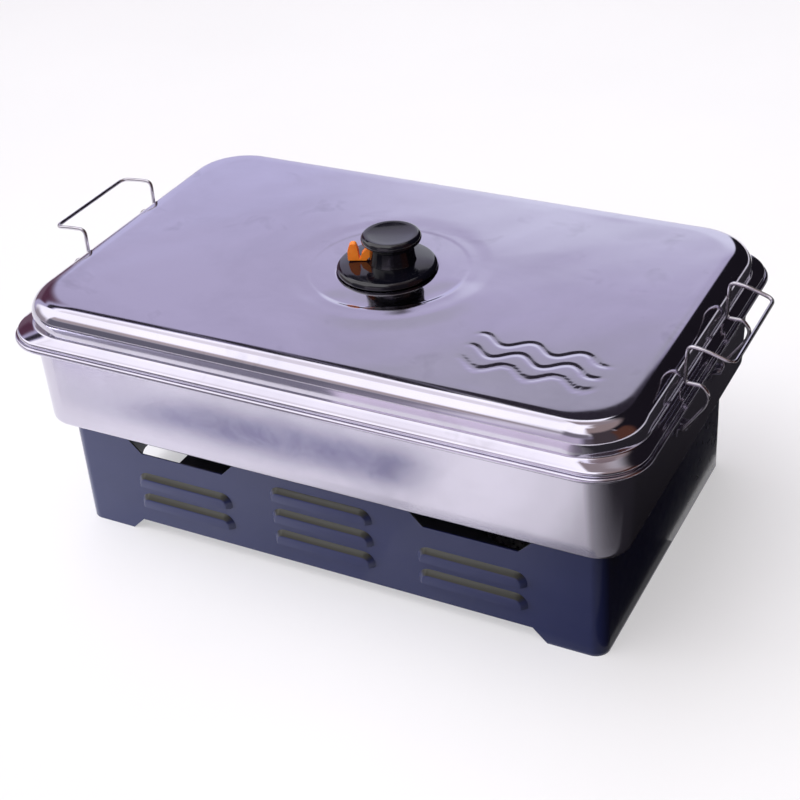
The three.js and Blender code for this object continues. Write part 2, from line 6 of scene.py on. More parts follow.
import bmesh
import bpy
import numpy as np
from mathutils import Matrix, Vector


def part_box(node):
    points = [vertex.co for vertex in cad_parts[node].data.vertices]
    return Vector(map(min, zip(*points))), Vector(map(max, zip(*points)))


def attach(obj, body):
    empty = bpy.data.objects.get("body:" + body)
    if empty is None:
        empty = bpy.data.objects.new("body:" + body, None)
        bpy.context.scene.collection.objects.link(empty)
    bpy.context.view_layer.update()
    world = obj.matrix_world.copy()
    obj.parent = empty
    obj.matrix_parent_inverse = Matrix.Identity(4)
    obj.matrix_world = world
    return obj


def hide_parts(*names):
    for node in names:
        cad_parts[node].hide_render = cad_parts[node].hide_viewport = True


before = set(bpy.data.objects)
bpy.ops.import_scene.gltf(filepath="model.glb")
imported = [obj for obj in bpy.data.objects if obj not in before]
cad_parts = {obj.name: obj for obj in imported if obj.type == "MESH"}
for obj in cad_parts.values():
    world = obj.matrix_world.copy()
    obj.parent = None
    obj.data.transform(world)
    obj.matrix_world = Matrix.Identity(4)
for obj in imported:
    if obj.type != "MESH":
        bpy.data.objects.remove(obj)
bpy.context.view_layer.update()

MM = 0.001
TINY = 1e-6  # points closer than this, in metres, are one point
SOFTEST_EDGE = radians(32)  # sharper edges than this are shaded crisp


# -------- sizes

def mm(*values):
    """Millimetres to metres."""
    return tuple(value * MM for value in values)


def span(node, axis):
    low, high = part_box(node)
    return high[axis] - low[axis]


def top_of(node):
    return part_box(node)[1][2]


def bottom_of(node):
    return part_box(node)[0][2]


SHEET = 0.8 * MM  # pressed stainless sheet

STAND_LENGTH = span("stand_shell", 0)
STAND_WIDTH = 222 * MM  # without the louvres
STAND_HEIGHT = top_of("stand_shell")
STAND_SHEET = 1.0 * MM
STAND_RADIUS = 9.5 * MM

RIM_LENGTH = span("pan", 0)
RIM_WIDTH = span("pan", 1)
RIM_TOP = top_of("pan")
PAN_FLOOR = bottom_of("pan")
RIM_BEAD = 1.7 * MM

LID_LENGTH = span("lid", 0)
LID_WIDTH = span("lid", 1)
LID_TOP = top_of("lid")
LID_BOTTOM = bottom_of("lid")

KNOB_AXIS = Vector((2.3, 1.3)) * MM  # the screw, the stem and the vent turn about it
FLANGE_AXIS = Vector((-1.0, -0.6)) * MM
WELL_DEPTH = 1.8 * MM  # under the knob's flange
WELL_RADIUS = 30 * MM
WELL_EDGE = 32.5 * MM
DISH_DEPTH = 0.34 * MM  # the shallow ring round the knob
DISH_STEP = 0.10 * MM  # a crisp step at its inner edge
DISH_RADIUS = 50.6 * MM
DISH_STEP_EDGE = 52.4 * MM
DISH_SLOPE = 57 * MM
DISH_FRONT = radians(-60.6)  # the step is deepest and widest on this side
DISH_FRONT_FADE = (0.45, 0.8)  # cosines of the turn from it: faint at the first, full at the second
DISH_FRONT_STEP = 0.35 * MM
DISH_FRONT_LIP = 0.35 * MM
DISH_FRONT_WIDTH = 2.2 * MM
DISH_EDGE = 68 * MM
DISH_LIP_EDGE = 82 * MM
LEVER_ANGLE = radians(201)


# -------- mesh helpers

def add_object(name, data):
    obj = bpy.data.objects.new(name, data)
    bpy.context.scene.collection.objects.link(obj)
    return obj


def shade_smooth(bm, limit):
    """Smooth shading everywhere but over edges sharper than the limit."""
    for face in bm.faces:
        face.smooth = True
    for edge in bm.edges:
        if len(edge.link_faces) == 2:
            edge.smooth = edge.calc_face_angle() < limit


def smooth_mesh(name, bm, limit=SOFTEST_EDGE):
    """Turns a bmesh into an object whose edges sharper than the limit stay crisp."""
    bmesh.ops.recalc_face_normals(bm, faces=bm.faces)
    shade_smooth(bm, limit)
    mesh = bpy.data.meshes.new(name)
    bm.to_mesh(mesh)
    bm.free()
    return add_object(name, mesh)


def from_arrays(name, points, faces, limit):
    mesh = bpy.data.meshes.new(name + "_raw")
    mesh.from_pydata([tuple(p) for p in points], [], [tuple(f) for f in faces])
    bm = bmesh.new()
    bm.from_mesh(mesh)
    bpy.data.meshes.remove(mesh)
    return smooth_mesh(name, bm, limit)


def ring_faces(low, high, count):
    """Quads between two closed rings that start at the indices low and high."""
    around = range(count)
    return [(low + i, low + (i + 1) % count, high + (i + 1) % count, high + i) for i in around]


def skin(name, rings, closed=False, limit=SOFTEST_EDGE):
    """An object through rings of points that all have the same count, capped unless closed."""
    count = len(rings[0])
    points = np.concatenate([np.asarray(r, float) for r in rings])
    faces = []
    for k in range(len(rings) - 1):
        faces += ring_faces(k * count, (k + 1) * count, count)
    if closed:
        faces += ring_faces((len(rings) - 1) * count, 0, count)
    else:
        faces.append(tuple(reversed(range(count))))
        faces.append(tuple(range((len(rings) - 1) * count, len(rings) * count)))
    return from_arrays(name, points, faces, limit)


BOTH_ENDS = np.array([-1.0, 1.0])


def loop(size, xs, ys, corner_steps):
    """Points round a rounded rectangle. xs and ys are shares, -1 to 1, of its flat sides."""
    length, width, radius = size
    half_x, half_y = length / 2 - radius, width / 2 - radius
    turn = np.linspace(0, pi / 2, corner_steps + 1)[1:-1]
    arc = np.stack([np.cos(turn), np.sin(turn)], 1) * radius
    quarter = np.array([[0, -1], [1, 0]])
    sides = [
        [(half_x + radius, y * half_y) for y in ys],
        [(x * half_x, half_y + radius) for x in xs[::-1]],
        [(-half_x - radius, y * half_y) for y in ys[::-1]],
        [(x * half_x, -half_y - radius) for x in xs],
    ]
    centres = [(half_x, half_y), (-half_x, half_y), (-half_x, -half_y), (half_x, -half_y)]
    points = []
    for side, centre in zip(sides, centres):
        points += side
        points += [tuple(np.add(centre, p)) for p in arc]
        arc = arc @ quarter.T
    return np.array(points)


def at_height(flat, z):
    return np.column_stack([flat, np.full(len(flat), z)])


def grow(size, by):
    return (size[0] + 2 * by, size[1] + 2 * by, size[2] + by)


def around(size, level, steps):
    """Profile points at (out, up) millimetres from a rounded rectangle at a level."""
    return [(grow(size, out * MM), level + up * MM) for out, up in steps]


def mix(a, b, t):
    return tuple(p + (q - p) * t for p, q in zip(a, b))


def turned(name, profile, axis, facets, closed=False):
    """A lathed object from (radius, height) pairs: both ends on the axis, or a closed ring."""
    angles = np.linspace(0, 2 * pi, facets, endpoint=False)
    unit = np.stack([np.cos(angles), np.sin(angles)], 1)
    bm = bmesh.new()
    rings = []
    for radius, z in profile:
        if radius < TINY:
            rings.append([bm.verts.new((axis[0], axis[1], z))])
        else:
            rings.append([bm.verts.new((axis[0] + radius * x, axis[1] + radius * y, z))
                          for x, y in unit])
    pairs = list(zip(rings, rings[1:]))
    if closed:
        pairs.append((rings[-1], rings[0]))
    for low, high in pairs:
        for i in range(facets):
            j = (i + 1) % facets
            corners = [low[i % len(low)], low[j % len(low)],
                       high[j % len(high)], high[i % len(high)]]
            unique = list(dict.fromkeys(corners))
            if len(unique) > 2:
                bm.faces.new(unique)
    return smooth_mesh(name, bm)


def rounded(points, radii, steps):
    """A 2D or 3D line of points with each inner corner replaced by a smooth bend."""
    points = [np.array(p, float) for p in points]
    line = [points[0]]
    for before, corner, after, radius in zip(points, points[1:], points[2:], radii):
        into = (before - corner) / np.linalg.norm(before - corner)
        out = (after - corner) / np.linalg.norm(after - corner)
        start = corner + into * radius
        end = corner + out * radius
        for t in np.linspace(0, 1, steps + 1):
            line.append(start * (1 - t) ** 2 + 2 * corner * t * (1 - t) + end * t ** 2)
    line.append(points[-1])
    return line


DOME_RISE, DOME_SHARE = 0.45, 0.62  # a wire's domed end, in its own radii
WIRE_EDGE = radians(50)


def wire(name, points, radius, facets=14):
    """A round wire swept along a line of points, with domed ends."""
    line = []
    for point in map(Vector, points):
        if not line or (point - line[-1]).length > TINY:
            line.append(point)
    side = None
    rings = []
    last = len(line) - 1
    for i, point in enumerate(line):
        tangent = (line[min(i + 1, last)] - line[max(i - 1, 0)]).normalized()
        if side is None:
            side = tangent.orthogonal().normalized()
        side = (side - tangent * side.dot(tangent)).normalized()
        up = tangent.cross(side)

        def ring(centre, r):
            return [centre + (side * cos(a) + up * sin(a)) * r
                    for a in np.linspace(0, 2 * pi, facets, endpoint=False)]

        if i == 0:
            rings.append(ring(point - tangent * radius * DOME_RISE, radius * DOME_SHARE))
        rings.append(ring(point, radius))
        if i == last:
            rings.append(ring(point + tangent * radius * DOME_RISE, radius * DOME_SHARE))
    return skin(name, rings, limit=WIRE_EDGE)


def bevelled(obj, width, segments):
    bevel = obj.modifiers.new("edges", "BEVEL")
    bevel.width = width
    bevel.segments = segments
    return bevel


def thickened(obj, thickness, offset):
    """Turns a sheet's one surface into metal: offset 0 to both sides, -1 inward."""
    modifier = obj.modifiers.new("thickness", "SOLIDIFY")
    modifier.thickness = thickness
    modifier.offset = offset
    return obj


def finished(obj, node, body, material):
    """Gives an object its material, its body and the CAD node that it stands in for."""
    obj.data.materials.clear()
    obj.data.materials.append(material)
    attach(obj, body)
    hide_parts(node)


# -------- material helpers

class Nodes:
    """A small wrapper that makes node trees readable."""

    def __init__(self, owner):
        owner.use_nodes = True
        self.tree = owner.node_tree

    def node(self, kind, **settings):
        made = self.tree.nodes.new(kind)
        for key, value in settings.items():
            if key in made.inputs:
                made.inputs[key].default_value = value
            else:
                setattr(made, key, value)
        return made

    def link(self, source, target):
        self.tree.links.new(source, target)

    def feed(self, kind, sources, result, **settings):
        """Adds a node fed by {input: source} and hands back one of its outputs."""
        made = self.node(kind, **settings)
        for socket, source in sources.items():
            self.link(source, made.inputs[socket])
        return made.outputs[result]

    def axes(self, kind):
        """X, Y and Z of one kind of texture coordinates."""
        split = self.node("ShaderNodeSeparateXYZ")
        self.link(self.node("ShaderNodeTexCoord").outputs[kind], split.inputs["Vector"])
        return split.outputs

    def math(self, operation, *values):
        made = self.node("ShaderNodeMath", operation=operation)
        for socket, value in zip(made.inputs, values):
            if isinstance(value, (int, float)):
                socket.default_value = value
            else:
                self.link(value, socket)
        return made.outputs[0]


class Shader(Nodes):
    """A material: a principled surface and the patterns that feed it."""

    def __init__(self, name):
        self.material = bpy.data.materials.new(name)
        super().__init__(self.material)
        self.bsdf = self.tree.nodes["Principled BSDF"]

    def set(self, **values):
        for key, value in values.items():
            self.bsdf.inputs[key.replace("_", " ")].default_value = value

    def place(self, scale=(1, 1, 1)):
        """Object coordinates in metres, stretched per axis."""
        metres = self.node("ShaderNodeTexCoord").outputs["Object"]
        return self.feed("ShaderNodeMapping", {"Vector": metres}, "Vector", Scale=scale)

    def noise(self, vector, scale, detail, roughness, distortion=0.0):
        return self.feed("ShaderNodeTexNoise", {"Vector": vector}, "Fac", Scale=scale,
                         Detail=detail, Roughness=roughness, Distortion=distortion)

    def ramp(self, value, stops):
        """Maps a value through (position, grey or colour) stops."""
        made = self.node("ShaderNodeValToRGB")
        elements = made.color_ramp.elements
        while len(elements) < len(stops):
            elements.new(0.5)
        for element, (position, colour) in zip(elements, stops):
            element.position = position
            if isinstance(colour, (int, float)):
                colour = (colour, colour, colour)
            element.color = (*colour, 1)
        self.link(value, made.inputs["Fac"])
        return made.outputs["Color"]

    def span(self, value, low, high):
        reach = {"To Min": low, "To Max": high}
        return self.feed("ShaderNodeMapRange", {"Value": value}, "Result", **reach)

    def times(self, first, second):
        return self.math("MULTIPLY", first, second)

    def blend(self, colour, other, share):
        """The colour, turned into a plain other colour where the share is 1."""
        return self.feed("ShaderNodeMixRGB", {"Fac": share, "Color1": colour}, "Color",
                         Color2=(*other, 1))

    def bump(self, height, strength, distance, normal=None):
        sources = {"Height": height}
        if normal is not None:
            sources["Normal"] = normal
        return self.feed("ShaderNodeBump", sources, "Normal", Strength=strength,
                         Distance=distance)

    def wire_up(self, colour=None, roughness=None, normal=None):
        sources = {"Base Color": colour, "Roughness": roughness, "Normal": normal}
        for socket, source in sources.items():
            if source is not None:
                self.link(source, self.bsdf.inputs[socket])
        return self.material


def stainless(name, rough, brushed=(1, 1, 1), brush=0.03, wave=0.04, scuffs=0.0):
    """Polished stainless sheet: faint smudges, a wavy press finish and fine drawing marks."""
    s = Shader(name)
    s.set(Metallic=1.0)
    tint = (0.66, 0.635, 0.735)
    broad = s.noise(s.place(), 14, 4, 0.6, 0.4)
    smudge = s.noise(s.place(), 55, 5, 0.65, 0.8)
    dark = tuple(c * 0.94 for c in tint)
    light = tuple(c * 1.03 for c in tint)
    colour = s.ramp(broad, [(0.32, dark), (0.62, light)])
    roughness = s.ramp(smudge, [(0.35, rough[0]), (0.75, rough[1])])
    if scuffs:
        marked = s.ramp(s.noise(s.place(), 27, 3, 0.6, 0.6), [(0.60, 0.0), (0.78, 1.0)])
        colour = s.blend(colour, (0.0, 0.0, 0.0), s.span(marked, 0.0, scuffs))
    waves = s.bump(s.noise(s.place(), 22, 2, 0.5), wave, 0.001)
    marks = s.bump(s.noise(s.place(brushed), 900, 2, 0.5), brush, 0.00004, waves)
    return s.wire_up(colour, roughness, marks)


def dark_paint():
    """Satin-gloss navy enamel, fine orange peel; upward slopes get a painted warm reflection."""
    s = Shader("navy_enamel")
    s.set(Specular_IOR_Level=0.1, Coat_Weight=1.0, Coat_Roughness=0.2)
    patch = s.noise(s.place(), 18, 4, 0.6)
    enamel = s.ramp(patch, [(0.3, (0.012, 0.017, 0.064)), (0.7, (0.016, 0.021, 0.074))])
    # painted reflection: faces tilted up toward the roof turn from navy to a warm grey
    painted_reflection = s.ramp(s.axes("Normal")["Z"], [(0.35, 0.0), (0.6, 1.0), (0.85, 1.0), (0.98, 0.0)])
    colour = s.blend(enamel, (0.026, 0.026, 0.020), painted_reflection)
    rough = s.ramp(s.noise(s.place(), 130, 4, 0.6), [(0.35, 0.34), (0.7, 0.44)])
    peel = s.bump(s.noise(s.place(), 1100, 2, 0.5), 0.12, 0.00005)
    return s.wire_up(colour, rough, peel)


def patchy(name, patch, colours, sheen, rough, relief=None, **settings):
    """A surface whose colour, roughness and relief each follow a noise of their own.

    patch and sheen are a noise's (scale, detail, roughness); rough is the least and the most
    roughness; relief is (scale, strength, distance)."""
    s = Shader(name)
    s.set(**settings)
    colour = s.ramp(s.noise(s.place(), *patch), colours)
    roughness = s.ramp(s.noise(s.place(), *sheen), [(0.35, rough[0]), (0.75, rough[1])])
    if relief is None:
        return s.wire_up(colour, roughness)
    scale, strength, distance = relief
    height = s.noise(s.place(), scale, 2, 0.5)
    return s.wire_up(colour, roughness, s.bump(height, strength, distance))


def black_plastic():
    """Glossy black phenolic with dust and hairline marks."""
    return patchy("black_phenolic", (700, 4, 0.7),
                  [(0.55, (0.003, 0.003, 0.006)), (0.8, (0.008, 0.007, 0.013))],
                  (160, 4, 0.6), (0.08, 0.16), (90, 0.05, 0.0003),
                  Coat_Weight=0.5, Coat_Roughness=0.05)


def orange_plastic():
    return patchy("orange_plastic", (160, 3, 0.6),
                  [(0.35, (0.93, 0.22, 0.015)), (0.7, (1.0, 0.29, 0.03))],
                  (900, 3, 0.6), (0.32, 0.46), (2200, 0.2, 0.00004),
                  Subsurface_Weight=0.15, Subsurface_Scale=0.004)


def bright_wire():
    return patchy("drawn_wire", (120, 4, 0.6),
                  [(0.3, (0.56, 0.54, 0.58)), (0.7, (0.74, 0.71, 0.76))],
                  (420, 3, 0.6), (0.16, 0.30), (2600, 0.1, 0.00003), Metallic=1.0)


def brass():
    return patchy("turned_brass", (300, 4, 0.6),
                  [(0.3, (0.56, 0.40, 0.15)), (0.7, (0.68, 0.51, 0.21))],
                  (700, 3, 0.6), (0.22, 0.38), Metallic=1.0)


def tinned_steel():
    """Tinplate with its crystal spangle."""
    s = Shader("tinned_steel")
    s.set(Metallic=1.0)
    spangle = s.feed("ShaderNodeTexVoronoi", {"Vector": s.place()}, "Distance", Scale=260.0)
    colour = s.ramp(spangle, [(0.1, (0.48, 0.48, 0.47)), (0.8, (0.58, 0.58, 0.56))])
    rough = s.ramp(s.noise(s.place(), 240, 4, 0.6), [(0.35, 0.24), (0.75, 0.42)])
    dents = s.bump(s.noise(s.place(), 60, 3, 0.5), 0.08, 0.0006)
    return s.wire_up(colour, rough, dents)


def wadding():
    """Pale mineral wool, fibrous and matt."""
    s = Shader("mineral_wool")
    s.set(Sheen_Weight=0.4, Roughness=0.95)
    fibre = s.noise(s.place((1, 1, 3)), 700, 6, 0.75, 1.5)
    colour = s.ramp(fibre, [(0.3, (0.52, 0.47, 0.38)), (0.7, (0.86, 0.83, 0.76))])
    return s.wire_up(colour, None, s.bump(fibre, 0.9, 0.0012))


def gauze():
    """Woven wire gauze: two crossed sets of waves."""
    s = Shader("woven_gauze")
    s.set(Metallic=1.0)
    heights = []
    for turn in (0, pi / 2):
        place = s.feed("ShaderNodeMapping", {"Vector": s.place()}, "Vector",
                       Rotation=(0, 0, turn))
        heights.append(s.feed("ShaderNodeTexWave", {"Vector": place}, "Fac",
                              Scale=260.0, Distortion=0.2))
    weave = s.times(*heights)
    colour = s.ramp(weave, [(0.05, (0.05, 0.05, 0.05)), (0.5, (0.5, 0.5, 0.48))])
    rough = s.ramp(s.noise(s.place(), 300, 3, 0.6), [(0.35, 0.35), (0.75, 0.5)])
    return s.wire_up(colour, rough, s.bump(weave, 0.8, 0.0004))


# -------- boolean cuts

def combine(obj, tools, operation):
    """Applies a boolean of the obj with each tool, and deletes the tools."""
    for tool in tools:
        modifier = obj.modifiers.new("cut", "BOOLEAN")
        modifier.operation = operation
        modifier.solver = "EXACT"
        modifier.object = tool
    graph = bpy.context.evaluated_depsgraph_get()
    mesh = bpy.data.meshes.new_from_object(obj.evaluated_get(graph))
    obj.modifiers.clear()
    obj.data = mesh
    for tool in tools:
        bpy.data.objects.remove(tool)
    return obj


def crisp(obj, limit=SOFTEST_EDGE):
    """Sets smooth shading again after a boolean."""
    bm = bmesh.new()
    bm.from_mesh(obj.data)
    bmesh.ops.remove_doubles(bm, verts=bm.verts, dist=TINY)
    bmesh.ops.dissolve_degenerate(bm, edges=bm.edges, dist=TINY)
    shade_smooth(bm, limit)
    bm.to_mesh(obj.data)
    bm.free()
    return obj


def prism(name, outline, low, high, axis="Z"):
    """Extrudes a 2D outline, in the other two axes, between two levels along one axis."""
    if axis == "Z":
        rings = [[(x, y, level) for x, y in outline] for level in (low, high)]
    elif axis == "Y":
        rings = [[(x, level, z) for x, z in outline] for level in (high, low)]
    else:
        rings = [[(level, y, z) for y, z in outline] for level in (low, high)]
    return skin(name, rings)


# -------- the stand

NOTCH_CENTRE = 103.2 * MM
NOTCH_HALF = 31.2 * MM
NOTCH_DEPTH = 16.7 * MM
FOOT_LENGTH = 37 * MM
APRON_LIFT = 9.4 * MM
END_CUT_HALF = 47 * MM
END_CUT_HEIGHT = 12.5 * MM
END_CUT_RADIUS = 5 * MM
STAND_SHARPEST = radians(28)

LOUVRE_LENGTH = 73 * MM
LOUVRE_HEIGHT = 10 * MM
LOUVRE_RADIUS = 8 * MM
LOUVRE_LOW = 23.6 * MM
LOUVRE_PITCH = 16.8 * MM
LOUVRE_GROUPS = ((-103.5 * MM, 2), (0.0, 3), (103.5 * MM, 2))
# (step in, depth) pairs in millimetres, from the panel out to the hood's face
LOUVRE_SECTION = ((0.0, 0.0), (0.4, 0.5), (2.8, 3.0), (3.2, 3.25), (3.8, 3.4))
LOUVRE_SHEET = 0.9 * MM  # the hood's face
LOUVRE_WALL = 0.75 * MM  # and its sides


def louvre_outline(inset, drop):
    """Half-round shoulders over a straight lip, in the panel's own X and Z."""
    half = LOUVRE_LENGTH / 2 - inset
    top = LOUVRE_HEIGHT - inset
    radius = max(LOUVRE_RADIUS - inset, 0.5 * MM)
    points = [(-half, -drop), (half, -drop)]
    for start, centre in ((0, half - radius), (pi / 2, radius - half)):
        for angle in np.linspace(start, start + pi / 2, 10):
            points.append((centre + radius * cos(angle), top - radius + radius * sin(angle)))
    return points


def louvre_rings(section, shift_x, lip, side, inset=0.0, drop=0.0):
    """Rings through (step in, depth) pairs; an inset makes the hollow one sheet further in."""
    thin = LOUVRE_SHEET if inset else 0.0
    rings = []
    for step, depth in section:
        ring = []
        out = STAND_WIDTH / 2 + depth * MM - thin
        for x, z in louvre_outline(step * MM + inset, drop):
            ring.append((-side * (shift_x + x), side * out, lip + z))
        rings.append(ring)
    return rings


def stand_louvres():
    """Hoods to add and hollows to take away, front and rear."""
    hoods, hollows = [], []
    reach = (-0.5,) + tuple(d for _, d in LOUVRE_SECTION)
    steps = (0.0,) + tuple(s for s, _ in LOUVRE_SECTION)
    outside = list(zip(steps, reach))
    inside = [(0.0, -3.0)] + list(LOUVRE_SECTION)
    under = [(s, d) for s, d in inside if d > 0.4]
    for side in (-1, 1):
        for shift_x, rows in LOUVRE_GROUPS:
            for row in range(rows):
                lip = LOUVRE_LOW + row * LOUVRE_PITCH
                hoods.append(skin("hood", louvre_rings(outside, shift_x, lip, side)))
                hollow = louvre_rings(inside, shift_x, lip, side, LOUVRE_WALL)
                hollows.append(skin("hollow", hollow))
                open_below = louvre_rings(under, shift_x, lip, side, LOUVRE_WALL, 1.5 * MM)
                hollows.append(skin("under", open_below))
    return hoods, hollows


def stand_cuts():
    """The notches in the top edge, the arches under the long sides and the left end's opening."""
    cuts = []
    through = STAND_WIDTH
    low = STAND_HEIGHT - NOTCH_DEPTH
    over = 1 * MM
    wide = NOTCH_HALF + NOTCH_DEPTH + over
    for side in (-1, 1):
        x = side * NOTCH_CENTRE
        outline = [(x - NOTCH_HALF, low), (x + NOTCH_HALF, low),
                   (x + wide, STAND_HEIGHT + over), (x - wide, STAND_HEIGHT + over)]
        cuts.append(prism("notch", outline, -through, through, "Y"))
    apron = STAND_LENGTH / 2 - FOOT_LENGTH
    outline = [(-apron - over, -over), (apron + over, -over),
               (apron - APRON_LIFT, APRON_LIFT), (-apron + APRON_LIFT, APRON_LIFT)]
    cuts.append(prism("apron", outline, -through, through, "Y"))
    outline = [(END_CUT_HALF, -over)]
    for start, y in ((0, END_CUT_HALF - END_CUT_RADIUS), (pi / 2, END_CUT_RADIUS - END_CUT_HALF)):
        for angle in np.linspace(start, start + pi / 2, 8):
            outline.append((y + END_CUT_RADIUS * cos(angle),
                            END_CUT_HEIGHT - END_CUT_RADIUS * (1 - sin(angle))))
    outline.append((-END_CUT_HALF, -over))
    end = -STAND_LENGTH / 2
    cuts.append(prism("end_cut", outline, end - 2 * MM, end + 4 * MM, "X"))
    return cuts


def stand_shell():
    size = (STAND_LENGTH, STAND_WIDTH, STAND_RADIUS)
    outer = loop(size, BOTH_ENDS, BOTH_ENDS, 14)
    inner = loop(grow(size, -STAND_SHEET), BOTH_ENDS, BOTH_ENDS, 14)
    band = skin("stand", [at_height(outer, 0), at_height(outer, STAND_HEIGHT),
                          at_height(inner, STAND_HEIGHT), at_height(inner, 0)], closed=True)
    hoods, hollows = stand_louvres()
    combine(band, hoods, "UNION")
    combine(band, hollows + stand_cuts(), "DIFFERENCE")
    return crisp(band, STAND_SHARPEST)


# -------- the pan

PAN_BASE = mm(404.4, 246.2, 20)
PAN_MOUTH = mm(408.2, 250, 24)
PAN_FILLET = 4.7 * MM
PAN_RIPPLE = 0.05 * MM
RIM = (RIM_LENGTH, RIM_WIDTH, 33.5 * MM)
SIDE_SHARES = np.linspace(-1, 1, 41)
END_SHARES = np.linspace(-1, 1, 25)
CORNER_STEPS = 20


def pressed_ring(size, z):
    return at_height(loop(size, SIDE_SHARES, END_SHARES, CORNER_STEPS), z)


def fillet(size, floor, radius, steps=7):
    rings = []
    for angle in np.linspace(0, pi / 2, steps):
        rings.append((grow(size, -radius * (1 - sin(angle))), floor + radius * (1 - cos(angle))))
    return rings


def wall(low, high, floor, top, steps):
    """Rings up a drafted wall, without its ends."""
    shares = np.linspace(0, 1, steps + 2)[1:-1]
    return [(mix(low, high, t), floor + (top - floor) * t) for t in shares]


def ripple(points, depth):
    """Pushes a pressed wall in and out a little, as thin sheet is never quite flat."""
    x, y, z = points[:, 0], points[:, 1], points[:, 2]
    wave = (np.sin(x * 61 + 1.3) * np.sin(z * 47 + 0.4)
            + 0.6 * np.sin(x * 143 + y * 90 + 2.1) * np.sin(z * 83 + 1.7)
            + 0.8 * np.sin(y * 71 + 0.7) * np.cos(z * 39))
    flat = points[:, :2]
    out = flat / np.linalg.norm(flat, axis=1, keepdims=True)
    moved = points.copy()
    moved[:, :2] += out * (wave * depth)[:, None]
    return moved


def pan():
    """Up the outside from the base, over the rolled rim and down the inside."""
    under = RIM_TOP - SHEET
    inner_mouth = grow(PAN_MOUTH, -SHEET)
    bead = RIM_TOP - RIM_BEAD
    profile = fillet(PAN_BASE, PAN_FLOOR, PAN_FILLET)
    top = under - 1.6 * MM
    profile += wall(PAN_BASE, PAN_MOUTH, profile[-1][1], top, 9)
    profile += around(PAN_MOUTH, under, ((0, -1.6), (0.3, -0.7), (0.9, -0.15), (1.8, 0)))
    profile.append((grow(RIM, -2.2 * RIM_BEAD), under))
    for angle in np.linspace(radians(-140), pi / 2, 13):
        out = RIM_BEAD * (cos(angle) - 1)
        profile.append((grow(RIM, out), bead + RIM_BEAD * sin(angle)))
    profile.append((grow(RIM, -2 * RIM_BEAD), RIM_TOP))
    profile += around(inner_mouth, RIM_TOP, ((3, 0), (1.2, -0.3), (0.3, -1.2), (0, -2.6)))
    inner_base = grow(PAN_BASE, -SHEET)
    floor = fillet(inner_base, PAN_FLOOR + SHEET, PAN_FILLET - SHEET)
    profile += reversed(wall(inner_base, inner_mouth, floor[-1][1], RIM_TOP - 2.6 * MM, 9))
    profile += reversed(floor)
    rings = []
    for size, z in profile:
        depth = PAN_RIPPLE if z < under - 2 * MM else 0.0
        rings.append(ripple(pressed_ring(size, z), depth))
    return skin("pan_pressed", rings)


PIVOT = (208.5, 124.5)  # X and Z of a bail's pivot, in millimetres
LUG_GAP = 0.4 * MM  # from the pan's wall to the middle of the strip
LUG_FLAP = 2.6 * MM  # the flaps start this far above and below the wire
LUG_EYE = 2.1 * MM
LUG_ROUND = 0.18 * MM


def bail_lug(name, side):
    """A folded strip: two flaps spot welded to the wall, and an eye round the bail's wire."""
    node = f"bail_lug_{name}"
    low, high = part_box(node)
    middle_y = (low[1] + high[1]) / 2
    middle_z = (low[2] + high[2]) / 2
    half = (high[1] - low[1]) / 2
    flap_x = side * (PAN_MOUTH[0] / 2) + side * LUG_GAP
    eye = Vector((side * PIVOT[0] * MM, middle_y, middle_z))
    line = [(flap_x, high[2]), (flap_x, middle_z + LUG_FLAP)]
    for angle in np.linspace(radians(115), radians(-115), 13):
        line.append((eye.x + side * LUG_EYE * cos(angle), eye.z + LUG_EYE * sin(angle)))
    line += [(flap_x, middle_z - LUG_FLAP), (flap_x, low[2])]
    bm = bmesh.new()
    rows = [[bm.verts.new((x, middle_y + s * half, z)) for s in (-1, 1)] for x, z in line]
    for a, b in zip(rows, rows[1:]):
        bm.faces.new((a[0], a[1], b[1], b[0]))
    strip = thickened(smooth_mesh(node + "_strip", bm, radians(60)), SHEET, 0)
    bevelled(strip, LUG_ROUND, 2)
    return strip


# -------- the lid

LID_CREASE = mm(395.1, 237.3, 31)
LID_SOFT_RADIUS = 40 * MM  # the gentle roll-off before the shoulder
LID_SOFT_TURN = radians(8.5)
LID_SOFT_WIDTH = LID_SOFT_RADIUS * sin(LID_SOFT_TURN)
LID_SOFT_DROP = LID_SOFT_RADIUS * (1 - cos(LID_SOFT_TURN))
LID_FLAT = (LID_CREASE[0] - 2 * LID_SOFT_WIDTH, LID_CREASE[1] - 2 * LID_SOFT_WIDTH, 33 * MM)
LID_BODY = mm(415.1, 257.3, 37)
LID_EDGE = (LID_LENGTH, LID_WIDTH, 31.5 * MM)
LID_FOLD_LEVEL = 155.3 * MM
LID_EDGE_LEVEL = 152.5 * MM
LID_FILLET = 10 * MM
LID_CORNER_LINES = 14
LID_STEEPEST = radians(80)  # of the shoulder, and of the fold above the flange
LID_SHOULDER_SHARE = 0.97  # how far out the shoulder has come at its foot
LID_FOLD_RADIUS = 0.9 * MM
LID_SHARPEST = radians(50)

WAVE_START, WAVE_END = 84 * MM, 176 * MM
WAVE_ROWS = mm(-58, -72, -86)
WAVE_LENGTH = 31 * MM
WAVE_SWING = 4.5 * MM
WAVE_GROOVE = 2.4 * MM
WAVE_DEPTH = 0.3 * MM
WAVE_FADE = 12 * MM  # at both ends of a groove

CROWN = 0.25 * MM  # the top bulges by this much
PRESS_MARKS = 0.02 * MM  # and waves by about this much


def smooth_share(value, low, high):
    t = np.clip((value - low) / (high - low), 0, 1)
    return t * t * (3 - 2 * t)


def lines_between(stops):
    """Grid lines through (position, spacing) stops, each spacing holding up to the next."""
    lines = [stops[0][0]]
    for (start, spacing), (end, _) in zip(stops, stops[1:]):
        count = max(1, round((end - start) / spacing))
        lines += list(np.linspace(start, end, count + 1)[1:])
    return np.array(lines)


